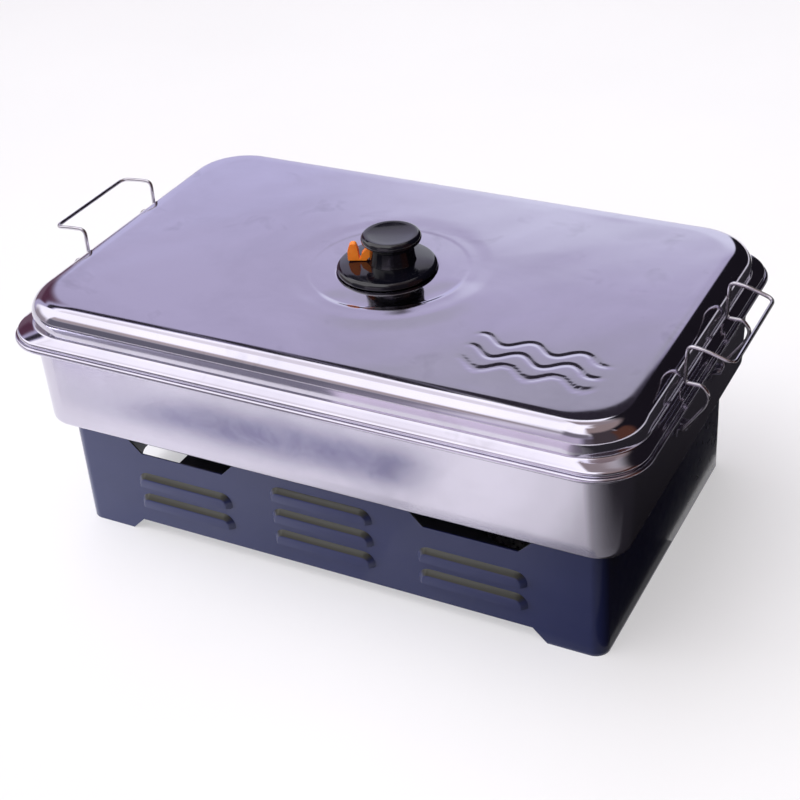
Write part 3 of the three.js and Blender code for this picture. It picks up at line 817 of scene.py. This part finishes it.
def lid_relief(x, y):
    """Height of the lid's top over its crease: the sunk dish, the wavy grooves and the press."""
    radius = np.hypot(x, y)
    shallow = 1 - smooth_share(radius, DISH_SLOPE, DISH_EDGE)
    toward_front = (x * cos(DISH_FRONT) + y * sin(DISH_FRONT)) / np.maximum(radius, 1 * MM)
    front = smooth_share(toward_front, *DISH_FRONT_FADE)
    step = 1 - smooth_share(radius, DISH_RADIUS, DISH_STEP_EDGE + DISH_FRONT_WIDTH * front)
    rise = smooth_share(radius, WELL_EDGE, DISH_RADIUS - 2 * MM)
    step_depth = DISH_STEP + DISH_FRONT_STEP * front * rise
    dish = -(DISH_DEPTH - DISH_STEP) * shallow - step_depth * step
    lip_start = DISH_STEP_EDGE + DISH_FRONT_WIDTH
    lip = (1 - step) * (1 - smooth_share(radius, lip_start, DISH_LIP_EDGE))
    dish += DISH_FRONT_LIP * front * lip
    from_flange = np.hypot(x - FLANGE_AXIS.x, y - FLANGE_AXIS.y)
    dish -= (WELL_DEPTH - DISH_DEPTH) * (1 - smooth_share(from_flange, WELL_RADIUS, WELL_EDGE))
    grooves = np.zeros_like(x)
    slope = WAVE_SWING * 2 * pi / WAVE_LENGTH
    for k, row in enumerate(WAVE_ROWS):
        phase = 2 * pi * (x - WAVE_START) / WAVE_LENGTH + 0.5 * k
        away = np.abs(y - row - WAVE_SWING * np.sin(phase))
        away = away / np.sqrt(1 + (slope * np.cos(phase)) ** 2)
        ends = (smooth_share(x, WAVE_START, WAVE_START + WAVE_FADE)
                * (1 - smooth_share(x, WAVE_END - WAVE_FADE, WAVE_END)))
        grooves -= WAVE_DEPTH * ends * (1 - smooth_share(away, 0, WAVE_GROOVE))
    from_middle = np.maximum(np.abs(x) / 0.19, np.abs(y) / 0.115)
    crown = CROWN * (1 - smooth_share(from_middle, 0.2, 1))
    press = PRESS_MARKS * (np.sin(x * 73 + 0.4) * np.sin(y * 91 + 1.1)
                           + 0.7 * np.sin(x * 41 + y * 57) + 0.5 * np.sin(x * 151 - y * 117))
    return dish + grooves + crown + press


def lid_top_grid(xs, ys):
    """Points of the flat top: a grid whose corner patches are squeezed into quarter rounds."""
    length, width, radius = LID_FLAT
    half_x, half_y = length / 2 - radius, width / 2 - radius
    steps = np.linspace(0, radius, LID_CORNER_LINES + 1)[1:]
    full_x = np.concatenate([-half_x - steps[::-1], xs, half_x + steps])
    full_y = np.concatenate([-half_y - steps[::-1], ys, half_y + steps])
    x, y = np.meshgrid(full_x, full_y, indexing="ij")
    u = np.maximum(np.abs(x) - half_x, 0)
    v = np.maximum(np.abs(y) - half_y, 0)
    reach = np.maximum(u, v)
    with np.errstate(divide="ignore", invalid="ignore"):
        angle = np.where(u >= v, pi / 4 * v / u, pi / 2 - pi / 4 * u / v)
    angle = np.nan_to_num(angle)
    corner = (u > 0) & (v > 0)
    x = np.where(corner, np.sign(x) * (half_x + reach * np.cos(angle)), x)
    y = np.where(corner, np.sign(y) * (half_y + reach * np.sin(angle)), y)
    return x, y


def lid_pressed():
    length, width, radius = LID_FLAT
    half_x, half_y = length / 2 - radius, width / 2 - radius
    fine, medium, broad = 1 * MM, 1.3 * MM, 6 * MM
    ring = DISH_STEP_EDGE + 1 * MM
    xs = lines_between([(-half_x, broad), (-ring, fine), (ring, medium), (half_x, medium)])
    ys = lines_between([(-half_y, medium), (-ring, fine), (ring, broad), (half_y, broad)])
    x, y = lid_top_grid(xs, ys)
    past_edge = np.maximum(np.abs(x) - length / 2, np.abs(y) - width / 2)
    edge_fade = 1 - smooth_share(past_edge, -6 * MM, 0)
    z = LID_TOP + lid_relief(x, y) * edge_fade
    bm = bmesh.new()
    grid = [[bm.verts.new((x[i, j], y[i, j], z[i, j])) for j in range(x.shape[1])]
            for i in range(x.shape[0])]
    for left, right in zip(grid, grid[1:]):
        for j in range(len(left) - 1):
            bm.faces.new((left[j], right[j], right[j + 1], left[j + 1]))
    last_i, last_j = x.shape[0] - 1, x.shape[1] - 1
    border = [grid[last_i][j] for j in range(LID_CORNER_LINES, last_j + 1)]
    border += [grid[i][last_j] for i in range(last_i - 1, -1, -1)]
    border += [grid[0][j] for j in range(last_j - 1, -1, -1)]
    border += [grid[i][0] for i in range(1, last_i + 1)]
    border += [grid[last_i][j] for j in range(1, LID_CORNER_LINES)]
    for size, level in lid_skirt():
        flat = loop(size, xs / half_x, ys / half_y, 2 * LID_CORNER_LINES)
        ring = [bm.verts.new((px, py, level)) for px, py in flat]
        for k in range(len(ring)):
            m = (k + 1) % len(ring)
            bm.faces.new((border[k], border[m], ring[m], ring[k]))
        border = ring
    return thickened(smooth_mesh("lid_pressed", bm, LID_SHARPEST), SHEET, -1)


def lid_skirt():
    """The lid below its top crease: convex shoulder, wall, flange and turned-down lip."""
    rings = []
    for angle in np.linspace(0, LID_SOFT_TURN, 7)[1:]:
        share = sin(angle) / sin(LID_SOFT_TURN)
        rings.append((mix(LID_FLAT, LID_CREASE, share),
                      LID_TOP - LID_SOFT_RADIUS * (1 - cos(angle))))
    start = sin(LID_SOFT_TURN)
    drop = (LID_FILLET - LID_SOFT_DROP) / (cos(LID_SOFT_TURN) - cos(LID_STEEPEST))
    for angle in np.linspace(LID_SOFT_TURN, LID_STEEPEST, 15)[1:]:
        share = LID_SHOULDER_SHARE * (sin(angle) - start) / (sin(LID_STEEPEST) - start)
        rings.append((mix(LID_CREASE, LID_BODY, share),
                      LID_TOP - LID_SOFT_DROP - drop * (cos(LID_SOFT_TURN) - cos(angle))))
    wall_top = LID_TOP - LID_FILLET
    wall_foot = LID_FOLD_LEVEL + LID_FOLD_RADIUS
    for t in np.linspace(0, 1, 6)[1:]:
        share = LID_SHOULDER_SHARE + 0.03 * (1 - (1 - t) ** 2)
        rings.append((mix(LID_CREASE, LID_BODY, share), wall_top + (wall_foot - wall_top) * t))
    for angle in np.linspace(LID_STEEPEST, radians(20), 5)[:-1]:
        rings.append((grow(LID_BODY, LID_FOLD_RADIUS * (1 - sin(angle))),
                      LID_FOLD_LEVEL + LID_FOLD_RADIUS * (1 - cos(angle))))
    fold = grow(LID_BODY, LID_FOLD_RADIUS)
    flange = LID_FOLD_LEVEL - 0.1 * MM
    rings.append((fold, flange))
    lip = around(LID_EDGE, LID_EDGE_LEVEL, ((-1.5, 0.35), (-0.7, 0.05), (-0.2, -0.4), (0, -1)))
    rings += wall(fold, lip[0][0], flange, lip[0][1], 3)
    return rings + lip + [(LID_EDGE, LID_BOTTOM)]


# -------- knob and vent

KNOB_FOOT = bottom_of("knob_base")
KNOB_BASE_TOP = top_of("knob_base")
KNOB_BASE_RADIUS = span("knob_base", 0) / 2
CAP_TOP = top_of("knob_grip")
CAP_RADIUS = span("knob_grip", 0) / 2 + 0.5 * MM
CAP_UNDER = 191.8 * MM
STEM_RADIUS = 14.5 * MM
STEM_BORE = 10.2 * MM
WINDOW = mm(182.6, 188.6)  # the lever comes out of the stem here
FLANGE_HOLLOW = 3.4 * MM  # under the flange, round the screw's insert
FLANGE_FOOT = 1.2 * MM  # rounding at the foot of its edge
FLANGE_ROUND = 3.0 * MM  # and at the top
FLANGE_BORE = 10.4 * MM


def knob_base():
    low, top = KNOB_FOOT, KNOB_BASE_TOP
    r = KNOB_BASE_RADIUS
    seat = low + WELL_DEPTH - DISH_DEPTH
    hollow = low + FLANGE_HOLLOW
    profile = [(24.5 * MM, hollow), (24.5 * MM, low), (28.4 * MM, low), (31 * MM, seat),
               (r - FLANGE_FOOT, seat)]
    for angle in np.linspace(radians(-70), 0, 6):
        profile.append((r - FLANGE_FOOT * (1 - cos(angle)), seat + FLANGE_FOOT * (1 + sin(angle))))
    shoulder = top - 1 * MM - FLANGE_ROUND
    profile.append((r, shoulder))
    for angle in np.linspace(0, pi / 2 * 0.93, 9)[1:]:
        profile.append((r - FLANGE_ROUND * (1 - cos(angle)), shoulder + FLANGE_ROUND * sin(angle)))
    profile += [(25 * MM, top - 0.5 * MM), (19 * MM, top - 0.1 * MM), (15.5 * MM, top),
                (FLANGE_BORE, top), (FLANGE_BORE, hollow)]
    return turned("knob_flange", profile, FLANGE_AXIS, 128, closed=True)


def knob_grip():
    top, under = CAP_TOP, CAP_UNDER
    foot = KNOB_BASE_TOP + 0.15 * MM
    profile = [(0, under - 1 * MM), (STEM_BORE, under - 1 * MM), (STEM_BORE, foot)]
    profile += [(STEM_RADIUS + out * MM, foot + up * MM)
                for out, up in ((0.7, 0), (0.35, 1.2), (0, 4))]
    profile += [(STEM_RADIUS + out * MM, under - down * MM)
                for out, down in ((-0.4, 3.4), (-0.1, 1.8), (1, 0.6), (2.4, 0))]
    r = CAP_RADIUS
    widest = under + 2.6 * MM
    for angle in np.linspace(radians(-75), 0, 7):
        profile.append((r - 1.9 * MM * (1 - cos(angle)), widest + 2.5 * MM * sin(angle)))
    dome = top - under - 2.6 * MM
    for angle in np.linspace(0, pi / 2, 9)[1:]:
        profile.append((r - 2.8 * MM * (1 - cos(angle)), widest + dome * sin(angle)))
    profile += [(r - 5 * MM, top - 0.25 * MM), (r * 0.5, top - 0.75 * MM), (0, top - 0.9 * MM)]
    grip = turned("knob_stem_and_cap", profile, KNOB_AXIS, 96)
    low, high = WINDOW
    spread = np.linspace(LEVER_ANGLE - radians(60) - 0.26, LEVER_ANGLE + 0.2, 20)
    inside, outside = STEM_BORE - 1 * MM, STEM_RADIUS + 3 * MM
    outline = [(KNOB_AXIS.x + r * cos(a), KNOB_AXIS.y + r * sin(a))
               for r, angles in ((outside, spread), (inside, spread[::-1])) for a in angles]
    return crisp(combine(grip, [prism("window", outline, low, high)], "DIFFERENCE"))


LEVER_HALF = 2.3 * MM  # half the arm's thickness
LEVER_GAP = 0.45 * MM  # between the arm and the flange
LEVER_ROUND = 0.45 * MM
SLEEVE_RADII = mm(5.2, 7.5)
SLEEVE_TOP = 187.2 * MM


def vent_lever():
    """Arm and finger tab, drawn along +X and turned to the lever's angle, and their sleeve."""
    over = KNOB_BASE_TOP + LEVER_GAP
    tab = rounded([(16.6, 0), (28.4, 0), (28.3, 7.4), (26.4, 11.8), (22.9, 11.8), (21.6, 7.4),
                   (21.2, 1.4), (20.3, 1.4), (19.4, 4.8), (14.6, 9.4), (7.8, 9.4), (7.8, 5.0),
                   (12.2, 5.0), (16.6, 0)],
                  (0.8, 2.5, 1.6, 1.6, 2.0, 0.4, 0.4, 1.0, 1.2, 0.4, 0.4, 1.2), 4)
    outline = [(x * MM, over + z * MM) for x, z in tab[:-1]]
    arm = prism("lever_arm", outline, -LEVER_HALF, LEVER_HALF, "Y")
    bevel = bevelled(arm, LEVER_ROUND, 3)
    bevel.limit_method = "ANGLE"
    bevel.angle_limit = radians(25)
    shift = Matrix.Translation((KNOB_AXIS.x, KNOB_AXIS.y, 0))
    arm.data.transform(shift @ Matrix.Rotation(LEVER_ANGLE, 4, "Z"))
    (bore, outside), (low, high) = SLEEVE_RADII, (KNOB_FOOT + 0.4 * MM, SLEEVE_TOP)
    profile = [(bore, low), (outside, low), (outside, high), (bore, high)]
    return arm, turned("lever_sleeve", profile, KNOB_AXIS, 48, closed=True)


# -------- bails

BAIL_RADIUS = 1.25 * MM
BAIL_HALF = 39 * MM
BAIL_REACH = 9.5 * MM

# the bent wire in X and Z, in millimetres, from the pivot up to the grip
BAIL_FOLD = ((222.4, 144.8), (224.2, 152.0), (219.6, 157.9), (210.3, 157.9), (209.3, 160.5))
BAIL_BENDS = mm(2.0, 3, 3.5, 2.5, 1.0, 1.2, 4.5, 3, 5.5)
RIGHT_SIDE = (*BAIL_FOLD, (210.4, 182.8), (222.0, 181.2))
RIGHT_GRIP = (237.4, 176.2)
LEFT_SIDE = (*BAIL_FOLD, (209.0, 182.2), (220.2, 181.6))
LEFT_GRIP = (233.0, 180.2)


def bail(name, side, outline, grip):
    def at(y, xz):
        return np.array([side * xz[0] * MM, y, xz[1] * MM])

    near, far = ([at(y, p) for p in (PIVOT, *outline, grip)] for y in (-BAIL_HALF, BAIL_HALF))
    start = at(-BAIL_HALF + BAIL_REACH, PIVOT)
    end = at(BAIL_HALF - BAIL_REACH, PIVOT)
    line = rounded([start, *near, *far[::-1], end], BAIL_BENDS + BAIL_BENDS[::-1], 6)
    return wire(f"bail_{name}_wire", line, BAIL_RADIUS)


# -------- tray and rack

TRAY = mm(352, 200, 14)
TRAY_FLOOR = bottom_of("drip_tray") + 8 * MM
TRAY_TOP = top_of("drip_tray")
TRAY_SHEET = 0.6 * MM


def drip_tray():
    """A shallow pressed tray on four dimpled feet."""
    base, top = TRAY_FLOOR, TRAY_TOP
    profile = fillet(grow(TRAY, -1.5 * MM), base, 2.5 * MM, 5)
    profile += around(TRAY, top - TRAY_SHEET, ((0, -0.8), (0.8, 0), (3.6, 0)))
    profile += around(TRAY, top, ((4, -0.3), (3.6, 0), (0.5, 0)))
    profile.append((grow(TRAY, -TRAY_SHEET), top - 1.4 * MM))
    inner = fillet(grow(TRAY, -1.5 * MM - TRAY_SHEET), base + TRAY_SHEET, 2 * MM, 5)
    rings = [pressed_ring(size, z) for size, z in profile + inner[::-1]]
    tray = skin("drip_tray_pressed", rings)
    low = bottom_of("drip_tray")
    foot = [(0, low), (6.4 * MM, low), (7.2 * MM, low + 0.8 * MM), (10 * MM, base + 0.1 * MM),
            (9.4 * MM, base + 0.3 * MM), (0, base + 0.3 * MM)]
    half_x, half_y = TRAY[0] / 2 - 30 * MM, TRAY[1] / 2 - 28 * MM
    feet = [turned("foot", foot, (x * half_x, y * half_y), 32) for x in (-1, 1) for y in (-1, 1)]
    return crisp(combine(tray, feet, "UNION"))


RACK_LEVEL = 118 * MM
RACK = mm(388, 230, 20)
RACK_WIRE = 1.5 * MM
RACK_BAR = 1.1 * MM
RACK_BARS = 17
RACK_STACK = 0.9 * MM  # bars over and rails under the frame's middle
LEG_HALF = 70 * MM
LEG_BEND = 6 * MM


def rack_wires():
    """The rack's frame, its cross bars, its two long wires and a leg at each end."""
    grid = []
    rings = []
    for angle in np.linspace(0, 2 * pi, 10, endpoint=False):
        ring_size = grow(RACK, RACK_WIRE * cos(angle))
        flat = loop(ring_size, BOTH_ENDS, BOTH_ENDS, 10)
        rings.append(at_height(flat, RACK_LEVEL + RACK_WIRE * sin(angle)))
    grid.append(skin("rack_frame", rings, closed=True, limit=radians(60)))
    half_x, half_y = RACK[0] / 2, RACK[1] / 2
    z = RACK_LEVEL + RACK_STACK
    for x in np.linspace(-half_x + 22 * MM, half_x - 22 * MM, RACK_BARS):
        grid.append(wire("rack_bar", [(x, -half_y, z), (x, half_y, z)], RACK_BAR, 10))
    z = RACK_LEVEL - RACK_STACK
    for y in (-half_y * 0.4, half_y * 0.4):
        grid.append(wire("rack_rail", [(-half_x, y, z), (half_x, y, z)], RACK_WIRE, 10))
    legs = {}
    for name in ("left", "right"):
        low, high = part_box(f"rack_leg_{name}")
        x, foot, top = (low[0] + high[0]) / 2, low[2] + RACK_WIRE, high[2]
        line = rounded([(x, -LEG_HALF, top), (x, -LEG_HALF, foot), (x, LEG_HALF, foot),
                        (x, LEG_HALF, top)], (LEG_BEND, LEG_BEND), 8)
        legs[name] = wire(f"rack_leg_{name}_wire", line, RACK_WIRE, 12)
    return grid, legs


def joined(name, objects):
    """One object in place of several."""
    bm = bmesh.new()
    for obj in objects:
        bm.from_mesh(obj.data)
    mesh = bpy.data.meshes.new(name)
    bm.to_mesh(mesh)
    bm.free()
    for obj in objects:
        bpy.data.objects.remove(obj)
    return add_object(name, mesh)


# -------- build the object

steel_lid = stainless("stainless_lid", (0.06, 0.10), scuffs=0.16)
steel_pan = stainless("stainless_pan", (0.12, 0.18), brushed=(1, 1, 0.03), wave=0.02)
steel_small = stainless("stainless_small", (0.18, 0.3), brushed=(1, 0.05, 1), brush=0.07)
paint = dark_paint()
black = black_plastic()
orange = orange_plastic()
drawn = bright_wire()
tinned = tinned_steel()
yellow = brass()
wool = wadding()
woven = gauze()

SIDES = ((-1, "left"), (1, "right"))

finished(stand_shell(), "stand_shell", "stand_body", paint)
finished(pan(), "pan", "pan_body", steel_pan)
finished(lid_pressed(), "lid", "lid_body", steel_lid)
finished(knob_base(), "knob_base", "lid_body", black)
finished(knob_grip(), "knob_grip", "lid_body", black)
for piece in vent_lever():
    finished(piece, "vent_lever", "vent_body", orange)
left, right = bail("left", -1, LEFT_SIDE, LEFT_GRIP), bail("right", 1, RIGHT_SIDE, RIGHT_GRIP)
finished(left, "bail_left", "bail_left_body", drawn)
finished(right, "bail_right", "bail_right_body", drawn)
finished(drip_tray(), "drip_tray", "tray_body", steel_small)
grid, legs = rack_wires()
finished(joined("rack_wires", grid), "rack_grid", "rack_body", drawn)
for side, name in SIDES:
    finished(legs[name], f"rack_leg_{name}", "rack_body", drawn)
    for end in ("front", "rear"):
        lug = bail_lug(f"{name}_{end}", side)
        finished(lug, f"bail_lug_{name}_{end}", "pan_body", steel_small)

# the pieces whose CAD shapes are kept as they are
CARRIED_OVER = {
    "knob_insert": yellow, "knob_screw": tinned, "knob_washer": steel_small,
    "vent_shutter": steel_small,
}
BURNER = {"cup": tinned, "wadding": wool, "gauze": woven, "collar": tinned, "snuffer": steel_small}
for _, name in SIDES:
    for piece, material in BURNER.items():
        CARRIED_OVER[f"burner_{name}_{piece}"] = material
for node, material in CARRIED_OVER.items():
    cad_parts[node].data.materials.clear()
    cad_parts[node].data.materials.append(material)


# -------- camera, floor and light

VIEW_AZIMUTH = radians(29.425)  # 0 looks along +Y
VIEW_ELEVATION = radians(33.012)
VIEW_ROLL = radians(-4.413)
VIEW_DISTANCE = 1118.8 * MM
VIEW_OFFSET = (4.27 * MM, -60.25 * MM)
LENS = 72.48


def photo_camera():
    a, e, r = VIEW_AZIMUTH, VIEW_ELEVATION, VIEW_ROLL
    back = Vector((sin(a) * cos(e), -cos(a) * cos(e), sin(e)))
    level = Vector((cos(a), sin(a), 0))
    upward = back.cross(level)
    right = level * cos(r) + upward * sin(r)
    up = -level * sin(r) + upward * cos(r)
    place = -VIEW_OFFSET[0] * right - VIEW_OFFSET[1] * up + VIEW_DISTANCE * back
    data = bpy.data.cameras.new("camera")
    data.lens = LENS
    data.sensor_width = 36
    data.clip_start = 0.01
    camera = add_object("camera", data)
    camera.matrix_world = Matrix((
        (right.x, up.x, back.x, place.x),
        (right.y, up.y, back.y, place.y),
        (right.z, up.z, back.z, place.z),
        (0, 0, 0, 1)))
    bpy.context.scene.camera = camera


def pale_floor():
    bm = bmesh.new()
    bmesh.ops.create_grid(bm, x_segments=1, y_segments=1, size=6)
    floor = smooth_mesh("floor", bm)
    s = Shader("pale_floor")
    s.set(Roughness=0.7, Specular_IOR_Level=0.2)
    colour = s.ramp(s.noise(s.place(), 3, 3, 0.5),
                    [(0.3, (0.86, 0.86, 0.87)), (0.7, (0.88, 0.88, 0.89))])
    floor.data.materials.append(s.wire_up(colour))
    floor.visible_diffuse = False  # the dark paint is lit by the studio, not by the floor
    return floor


def share_out(light, floor, state):
    """A light that leaves the floor out (EXCLUDE), or that lights nothing else (INCLUDE)."""
    linked = bpy.data.collections.new(light.name + "_and_floor")
    linked.objects.link(floor)
    light.light_linking.receiver_collection = linked
    linked.collection_objects[0].light_linking.link_state = state
    light.visible_glossy = False


def area_light(name, place, target, size, power):
    data = bpy.data.lights.new(name, "AREA")
    data.shape = "RECTANGLE"
    data.size, data.size_y = size
    data.energy = power
    light = add_object(name, data)
    light.location = place
    direction = Vector(target) - Vector(place)
    light.rotation_euler = direction.to_track_quat("-Z", "Y").to_euler()
    return light


class Sky(Nodes):
    """Builds a studio's surroundings from soft-edged patches of azimuth and elevation.

    Azimuth is in degrees from +Y, positive toward +X; elevation is from the horizon."""

    def __init__(self, colour):
        world = bpy.data.worlds.new("studio")
        bpy.context.scene.world = world
        super().__init__(world)
        axes = self.axes("Generated")
        self.azimuth = self.math("ARCTAN2", axes["X"], axes["Y"])
        self.elevation = self.math("ARCSINE", axes["Z"])
        self.colour = self.node("ShaderNodeRGB").outputs[0]
        self.colour.default_value = (*colour, 1)

    def rise(self, value, low, high):
        """0 below low and 1 above high, smooth between them, in degrees."""
        reach = {"From Min": radians(low), "From Max": radians(high)}
        return self.feed("ShaderNodeMapRange", {"Value": value}, "Result",
                         interpolation_type="SMOOTHSTEP", **reach)

    def within(self, value, low, high, soft):
        up = self.rise(value, low - soft, low + soft)
        down = self.rise(value, high - soft, high + soft)
        return self.math("SUBTRACT", up, down)

    def patch(self, azimuth, elevation, soft, colour):
        """Paints over what is there. A patch may run across the back of the circle."""
        low, high = azimuth
        if high - low >= 360:
            turn = 1.0
        elif high > 180:
            turn = self.math("ADD", self.within(self.azimuth, low, 400, soft[0]),
                             self.within(self.azimuth, -400, high - 360, soft[0]))
        else:
            turn = self.within(self.azimuth, low, high, soft[0])
        share = self.math("MULTIPLY", turn, self.within(self.elevation, *elevation, soft[1]))
        blend = self.node("ShaderNodeMix", data_type="RGBA")
        self.link(share, blend.inputs["Factor"])
        self.link(self.colour, blend.inputs["A"])
        blend.inputs["B"].default_value = (*colour, 1)
        self.colour = blend.outputs["Result"]

    def finish(self):
        self.link(self.colour, self.tree.nodes["Background"].inputs["Color"])


def studio():
    """A lavender backdrop under a bright roof, with dark flags, as polished steel is shot in.

    Each patch: azimuths, elevations, softness of both, colour. Later ones cover earlier ones."""
    sky = Sky((0.57, 0.53, 0.71))
    white = (1.48, 1.46, 1.50)
    black = (0.012, 0.010, 0.014)
    everywhere = (-400, 400)
    sky.patch((-60, -28), (-20, 25.5), (5, 2.5), (0.68, 0.66, 0.90))  # the backdrop, pale low down
    sky.patch((-28, -3), (-20, 27.5), (6, 2.5), (0.90, 0.91, 1.06))
    sky.patch((-33, -12), (31.5, 40), (3, 1.5), (0.50, 0.485, 0.57))
    sky.patch(everywhere, (43, 120), (0, 1), white)  # the roof
    sky.patch((-160, -76), (8, 60), (3, 5), white)  # its left and front aprons
    sky.patch((-157, -122), (26, 39), (3, 4), (0.55, 0.47, 0.46))  # a warm valance
    sky.patch((-157, -122), (-90, 27), (2, 4), (0.17, 0.165, 0.20))  # the dark room in front
    sky.patch((-122, -80), (-90, 18), (8, 8), (0.42, 0.37, 0.39))
    sky.patch((-84, -44), (50, 70), (6, 4), (1.05, 1.00, 1.03))  # a duller panel over the rim
    sky.patch((166, 203), (-90, 30), (8, 6), (0.62, 0.55, 0.67))  # a grey screen to its right
    sky.patch((150, 205), (30, 52), (8, 5), (0.22, 0.20, 0.23))
    sky.patch((128, 166), (-90, 30), (8, 6), (0.13, 0.11, 0.13))
    sky.patch((5, 158), (54, 85), (9, 5), (0.36, 0.28, 0.26))  # a tan roof at the right
    sky.patch((-40, 30), (60, 78), (6, 6), (0.35, 0.29, 0.29))
    sky.patch((95, 150), (-90, 60), (6, 5), (0.07, 0.055, 0.06))
    for start, end, top in ((-75, -42, 41), (-42, -37, 43.5), (-37, -31, 46.5), (-31, 5, 50)):
        sky.patch((start, end), (35, top), (1.5, 0.8), (0.03, 0.025, 0.035))  # the rear bar
    sky.patch((-67, -46), (-12, 31), (2, 1.5), (0.20, 0.12, 0.16))  # a maroon corner
    sky.patch((-65, -46), (20, 31), (2, 3), (0.115, 0.045, 0.075))
    sky.patch((-8, 95), (-90, 60), (1.5, 4), black)  # the flag on the right
    sky.patch((74, 108), (-25, 48), (5, 6), (0.11, 0.045, 0.03))  # a brown edge beside it
    sky.finish()


def floor_card(name, corners, colour, level=1.0 * MM):
    """A card lying on the floor that only reflections see, and its shader."""
    bm = bmesh.new()
    bm.faces.new([bm.verts.new((x, y, level)) for x, y in corners])
    card = smooth_mesh(name, bm)
    s = Shader(name)
    s.set(Base_Color=(*colour, 1), Roughness=0.9)
    card.data.materials.append(s.material)
    card.visible_camera = False
    card.visible_diffuse = False
    card.visible_shadow = False
    return card, s


SHADE_INSET = 24 * MM  # far enough in that it never shows under the apron


def shade_in_stand():
    """A dark patch on the floor inside the stand, where no light gets in."""
    x, y = STAND_LENGTH / 2 - SHADE_INSET, STAND_WIDTH / 2 - SHADE_INSET
    corners = [(-x, -y), (x, -y), (x, y), (-x, y)]
    patch, _ = floor_card("shade", corners, (0.02, 0.02, 0.024), 0.5 * MM)
    patch.visible_camera = True
    patch.visible_diffuse = True


def faded_card(name, area, colour, along, across, streaks=None):
    """A floor card whose cover fades along X and Y through the stops."""
    left, right, near, far = area
    corners = [(left, near), (right, near), (right, far), (left, far)]
    _, s = floor_card(name, corners, colour, 1.5 * MM)
    axes = s.axes("Generated")
    cover = s.times(s.ramp(axes["X"], along), s.ramp(axes["Y"], across))
    if streaks:
        pattern = s.noise(s.place(streaks), 1.6, 4, 0.6, 0.6)
        cover = s.times(cover, s.ramp(pattern, [(0.3, 0.5), (0.55, 1.0)]))
    s.link(cover, s.bsdf.inputs["Alpha"])


def cards():
    black = (0.012, 0.011, 0.014)
    floor_card("right_card", [(0.42, -0.9), (1.2, -0.9), (1.2, 1.2), (0.21, 1.2), (0.21, 0.0),
                              (0.42, 0.0)], black)
    solid = [(0.0, 1.0), (1.0, 1.0)]
    faded_card("corner_card", (0.02, 0.43, -0.9, 0.01), black,
               [(0.12, 0.0), (0.22, 0.12), (0.28, 0.42), (0.4, 0.7), (0.62, 0.88), (0.8, 1.0)],
               solid)
    edge = [(-0.12, -0.385), (-0.67, -1.55)]
    floor_card("dark_card", [edge[0], edge[1], (-2.6, -1.55), (-2.6, -0.7), (-0.5, -0.385)],
               (0.16, 0.155, 0.19))
    floor_card("grey_card", [edge[0], (0.245, -0.385), (0.245, -1.55), edge[1]],
               (0.60, 0.54, 0.64))
    stand_right = STAND_LENGTH / 2 + 3 * MM
    floor_card("stand_card", [(stand_right, -0.14), (0.27, -0.14), (0.34, -0.08), (0.43, -0.08),
                              (0.43, 0.3), (stand_right, 0.3)], black, 2 * MM)
    faded_card("apron_card", (-0.1, 0.2, -0.215, -0.116), (0.20, 0.20, 0.26),
               [(0.0, 0.0), (0.8, 1.0)], solid)
    faded_card("streak_card", (-0.34, 0.03, -0.274, -0.222), (0.09, 0.09, 0.22),
               [(0.0, 0.0), (0.4, 0.75), (0.65, 1.0), (0.88, 1.0), (1.0, 0.0)],
               [(0.02, 0.0), (0.3, 1.0), (0.75, 1.0), (0.98, 0.0)], (6, 60, 1))
    faded_card("cloud_card", (-0.42, -0.2, -0.33, -0.25), (0.40, 0.37, 0.52),
               [(0.0, 0.8), (0.5, 0.9), (1.0, 0.0)], [(0.0, 0.9), (0.6, 0.7), (1.0, 0.0)],
               (10, 30, 1))


photo_camera()
floor = pale_floor()
cards()
shade_in_stand()
studio()
key = area_light("key", (-0.3, -1.7, 1.2), (0, 0, 0.1), (0.9, 0.9), 15)
wash = area_light("wash", (-0.62, -0.47, 0.05), (-0.05, -0.1, 0.05), (0.3, 0.08), 4.5)
ceiling = area_light("ceiling", (0, 0, 2.6), (0, 0, 0), (3.2, 3.2), 42)
for light in (key, wash, ceiling):
    share_out(light, floor, "EXCLUDE")
paper = area_light("paper", (0, 0, 2.6), (0, 0, 0), (3.2, 3.2), 62)
paper.data.use_shadow = False  # so only the sky, where the object shuts it out, shades the floor
share_out(paper, floor, "INCLUDE")
bpy.context.scene.view_settings.view_transform = "Standard"
